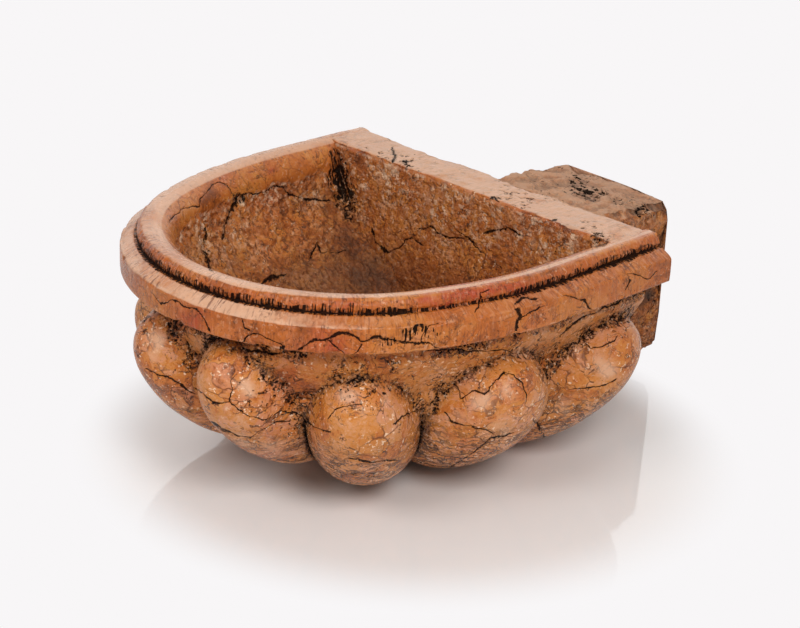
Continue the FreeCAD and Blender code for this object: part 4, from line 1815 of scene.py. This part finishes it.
def floor_material(colour):
    """White glossy sheet that fades to plain white away from the stoup, for the camera only."""
    material = bpy.data.materials.new("white_sheet")
    graph = Graph(material)
    place = graph.node("ShaderNodeTexCoord").outputs["Object"]
    rough = graph.swarms("sheet_gloss", place, 0.3, 0.7, 0.03, 0.06)
    bump = graph.node("ShaderNodeBump", {
        "Height": graph.texture("sheet_grain", place), "Distance": SHEET_RELIEF * MM,
        "Strength": 0.3}).outputs[0]
    tint = graph.mix(graph.texture("sheet_tint", place), list(colour) + [1.0], SHEET)
    shader = graph.node("ShaderNodeBsdfPrincipled", {
        "Base Color": tint, "Roughness": rough, "Specular IOR Level": 0.5, "Normal": bump})
    white = graph.node("ShaderNodeEmission", {"Color": WHITE, "Strength": 1.0})
    from_stoup = graph.node("ShaderNodeVectorMath", {
        0: graph.node("ShaderNodeMapping", {
            "Vector": place, "Location": FADE_CENTRE, "Rotation": (0, 0, FADE_TURN),
            "Scale": FADE_SCALE}, vector_type="TEXTURE").outputs[0]}, operation="LENGTH")
    share = graph.times(
        graph.rise(from_stoup.outputs["Value"], *FADE_SHARE),
        graph.node("ShaderNodeLightPath").outputs["Is Camera Ray"])
    both = graph.node("ShaderNodeMixShader", {0: share, 1: shader.outputs[0], 2: white.outputs[0]})
    graph.end("ShaderNodeOutputMaterial", both)
    return material


def build_floor(settings):
    """Floor that the stoup stands on, wide enough to fill the picture."""
    corners = ((-1, -1, 0), (1, -1, 0), (1, 1, 0), (-1, 1, 0))
    points = FLOOR_HALF * np.array(corners, float)
    floor = mesh_object("floor", points, [(np.array([[0, 1, 2, 3]]), None)])
    floor.data.materials.append(floor_material(settings.floor_colour))


def build_world(settings):
    """Even light from all round, and plain white where the camera or a gloss sees past it."""
    world = bpy.data.worlds.new("studio")
    bpy.context.scene.world = world
    graph = Graph(world)
    path = graph.node("ShaderNodeLightPath").outputs
    seen = graph.add(path["Is Camera Ray"], path["Is Glossy Ray"], path["Is Transmission Ray"])
    seen = graph.math("MINIMUM", seen, 1.0)
    ambient = graph.node("ShaderNodeBackground", {
        "Color": (1.0, 0.985, 0.97, 1.0), "Strength": settings.ambient})
    white = graph.node("ShaderNodeBackground", {"Color": (1.0, 1.0, 1.0, 1.0), "Strength": 1.0})
    both = graph.node("ShaderNodeMixShader", {
        0: seen, 1: ambient.outputs[0], 2: white.outputs[0]})
    graph.end("ShaderNodeOutputWorld", both)


# Lamps: the setting that holds their power, then size, azimuth, elevation, distance and colour,
# and the place that they look at, in metres.
LAMPS = {
    "key_lamp": ("key_power", 0.6, 66.0, 41.0, 1.7, (1.0, 0.985, 0.965)),
    "fill_lamp": ("fill_power", 0.6, 8.0, 41.0, 1.7, (1.0, 0.99, 0.98)),
    "back_lamp": ("back_power", 2.2, 212.0, 38.0, 1.8, (1.0, 0.99, 0.985)),
    "side_lamp": ("side_power", 0.8, -96.0, 28.0, 1.7, (1.0, 0.99, 0.985)),
}
LAMP_TARGET = np.array([0.0, -0.08, 0.1])


def build_lamp(name, power, size, azimuth, elevation, distance, colour):
    """Soft square lamp that looks at the stoup."""
    lamp = bpy.data.lights.new(name, "AREA")
    lamp.energy = power
    lamp.size = size
    lamp.color = colour
    right, up, back = looking_axes(math.radians(azimuth), math.radians(elevation))
    place_object(new_object(name, lamp), LAMP_TARGET + back * distance, right, up, back)


def place_object(holder, place, right, up, back):
    """Puts a camera or lamp at a place in metres, looking the opposite way to back."""
    matrix = Matrix.Identity(4)
    for column, axis in enumerate((right, up, back, place)):
        for row in range(3):
            matrix[row][column] = float(axis[row])
    holder.matrix_world = matrix


def build_camera():
    """Camera that frames the stoup from the front right, above the rim."""
    data = bpy.data.cameras.new("camera")
    data.sensor_width = SENSOR_WIDTH
    data.lens = PICTURE_FOCUS / PICTURE[0] * SENSOR_WIDTH
    data.clip_start = 0.05
    data.clip_end = 30.0
    camera = new_object("camera", data)
    bpy.context.scene.camera = camera
    place, right, up, back = camera_axes()
    place_object(camera, place * MM, right, up, back)


class StoupStone(bpy.types.PropertyGroup):
    """Finish of the marble."""

    polish: FloatProperty(
        name="Polish", description="How smooth the dressed faces are", default=1.0, min=0.3, max=2)
    # Dirt also scales the painted shade under the band and in the creases.
    dirt: FloatProperty(
        name="Dirt", description="Strength of the black dirt in the hollows", default=0.95,
        min=0, max=1, subtype="FACTOR")
    veins: FloatProperty(
        name="Veins", description="Strength of the dark seams between the nodules", default=0.9,
        min=0, max=1, subtype="FACTOR")


class StoupStage(bpy.types.PropertyGroup):
    """Floor and light."""

    floor_colour: FloatVectorProperty(
        name="Floor", description="Colour of the sheet under the stoup",
        default=(0.87, 0.86, 0.86), min=0, max=1, subtype="COLOR")
    ambient: FloatProperty(
        name="Ambient", description="Light that comes evenly from all round", default=0.31, min=0)
    key_power: FloatProperty(
        name="Key lamp", description="Power of the lamp above the right", default=14.0, min=0,
        unit="POWER")
    fill_power: FloatProperty(
        name="Fill lamp", description="Power of the lamp above the front", default=8.0, min=0,
        unit="POWER")
    back_power: FloatProperty(
        name="Back lamp", description="Power of the lamp behind the wall's side", default=8.0,
        min=0, unit="POWER")
    side_power: FloatProperty(
        name="Side lamp", description="Power of the low lamp on the left", default=2.5, min=0,
        unit="POWER")


SKIN = []


def stone_skin():
    """The carved skin, made once."""
    if not SKIN:
        SKIN.append(Skin())
    return SKIN[0]


def check_nodes(*nodes):
    """Stops with a plain message if the frame lacks a solid that a step stands for."""
    missing = [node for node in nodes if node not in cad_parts]
    if missing:
        raise RuntimeError("the frame has no " + ", ".join(missing))


class STOUP_OT_rim(bpy.types.Operator):
    """Carves the raised lip and the band under it"""

    bl_idname = "stoup.rim"
    bl_label = "Carve Rim"

    def execute(self, context):
        check_nodes("rim_lip", "rim_band")
        finish = marble("rim_marble")
        swept_member(stone_skin(), "rim_lip", ["lip"], "rim_marble", finish)
        swept_member(stone_skin(), "rim_band", ["band_in", "band_out"], "rim_marble", finish)
        return {"FINISHED"}


class STOUP_OT_bowl(bpy.types.Operator):
    """Carves the neck, shoulder and bowl with the hollow's sides and floor"""

    bl_idname = "stoup.bowl"
    bl_label = "Carve Bowl"

    def execute(self, context):
        check_nodes("neck", "shoulder", "bowl")
        finish = marble("bowl_marble")
        for node in ("neck", "shoulder", "bowl"):
            swept_member(stone_skin(), node, [node + "_in", node + "_out"], "bowl_marble", finish)
        return {"FINISHED"}


class STOUP_OT_back_wall(bpy.types.Operator):
    """Carves the flat wall behind the hollow"""

    bl_idname = "stoup.back_wall"
    bl_label = "Carve Back Wall"

    def execute(self, context):
        check_nodes("back_wall")
        carve_back_wall(marble("bowl_marble"))
        return {"FINISHED"}


class STOUP_OT_lobes(bpy.types.Operator):
    """Carves the eight lobes round the bowl"""

    bl_idname = "stoup.lobes"
    bl_label = "Carve Lobes"

    def execute(self, context):
        check_nodes(*EGGS)
        finish = marble("lobe_marble")
        for name in EGGS:
            carve_lobe(name, "lobe_marble", finish)
        return {"FINISHED"}


class STOUP_OT_tenon(bpy.types.Operator):
    """Hews the rough block that goes into the wall"""

    bl_idname = "stoup.tenon"
    bl_label = "Hew Tenon"

    def execute(self, context):
        check_nodes("wall_tenon")
        carve_tenon(marble("hewn_marble"))
        return {"FINISHED"}


class STOUP_OT_stage(bpy.types.Operator):
    """Sets the floor, lamps, surrounding light and camera"""

    bl_idname = "stoup.stage"
    bl_label = "Set Stage"

    def execute(self, context):
        settings = context.scene.stoup_stage
        context.scene.view_settings.view_transform = "Standard"
        build_floor(settings)
        build_world(settings)
        for name, (power, *row) in LAMPS.items():
            build_lamp(name, getattr(settings, power), *row)
        build_camera()
        return {"FINISHED"}


STEPS = (STOUP_OT_rim, STOUP_OT_bowl, STOUP_OT_back_wall, STOUP_OT_lobes, STOUP_OT_tenon,
         STOUP_OT_stage)


class STOUP_PT_panel(bpy.types.Panel):
    """Steps that carve the stoup and set its stage"""

    bl_idname = "STOUP_PT_panel"
    bl_label = "Wall Stoup"
    bl_space_type = "VIEW_3D"
    bl_region_type = "UI"
    bl_category = "Stoup"

    def draw(self, context):
        for settings in (context.scene.stoup_stone, context.scene.stoup_stage):
            for name in settings.__annotations__:
                self.layout.prop(settings, name)
        for step in STEPS:
            self.layout.operator(step.bl_idname)


CLASSES = (StoupStone, StoupStage) + STEPS + (STOUP_PT_panel,)


def register():
    """Adds the settings, steps and panel to Blender."""
    for part in CLASSES:
        bpy.utils.register_class(part)
    bpy.types.Scene.stoup_stone = PointerProperty(type=StoupStone)
    bpy.types.Scene.stoup_stage = PointerProperty(type=StoupStage)


def unregister():
    """Takes them out again."""
    del bpy.types.Scene.stoup_stage
    del bpy.types.Scene.stoup_stone
    for part in reversed(CLASSES):
        bpy.utils.unregister_class(part)


def main():
    """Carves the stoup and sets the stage."""
    register()
    for step in STEPS:
        name = step.bl_idname.split(".")[1]
        if getattr(bpy.ops.stoup, name)() != {"FINISHED"}:
            raise RuntimeError(step.bl_label + " didn't finish")


if __name__ == "__main__":
    main()
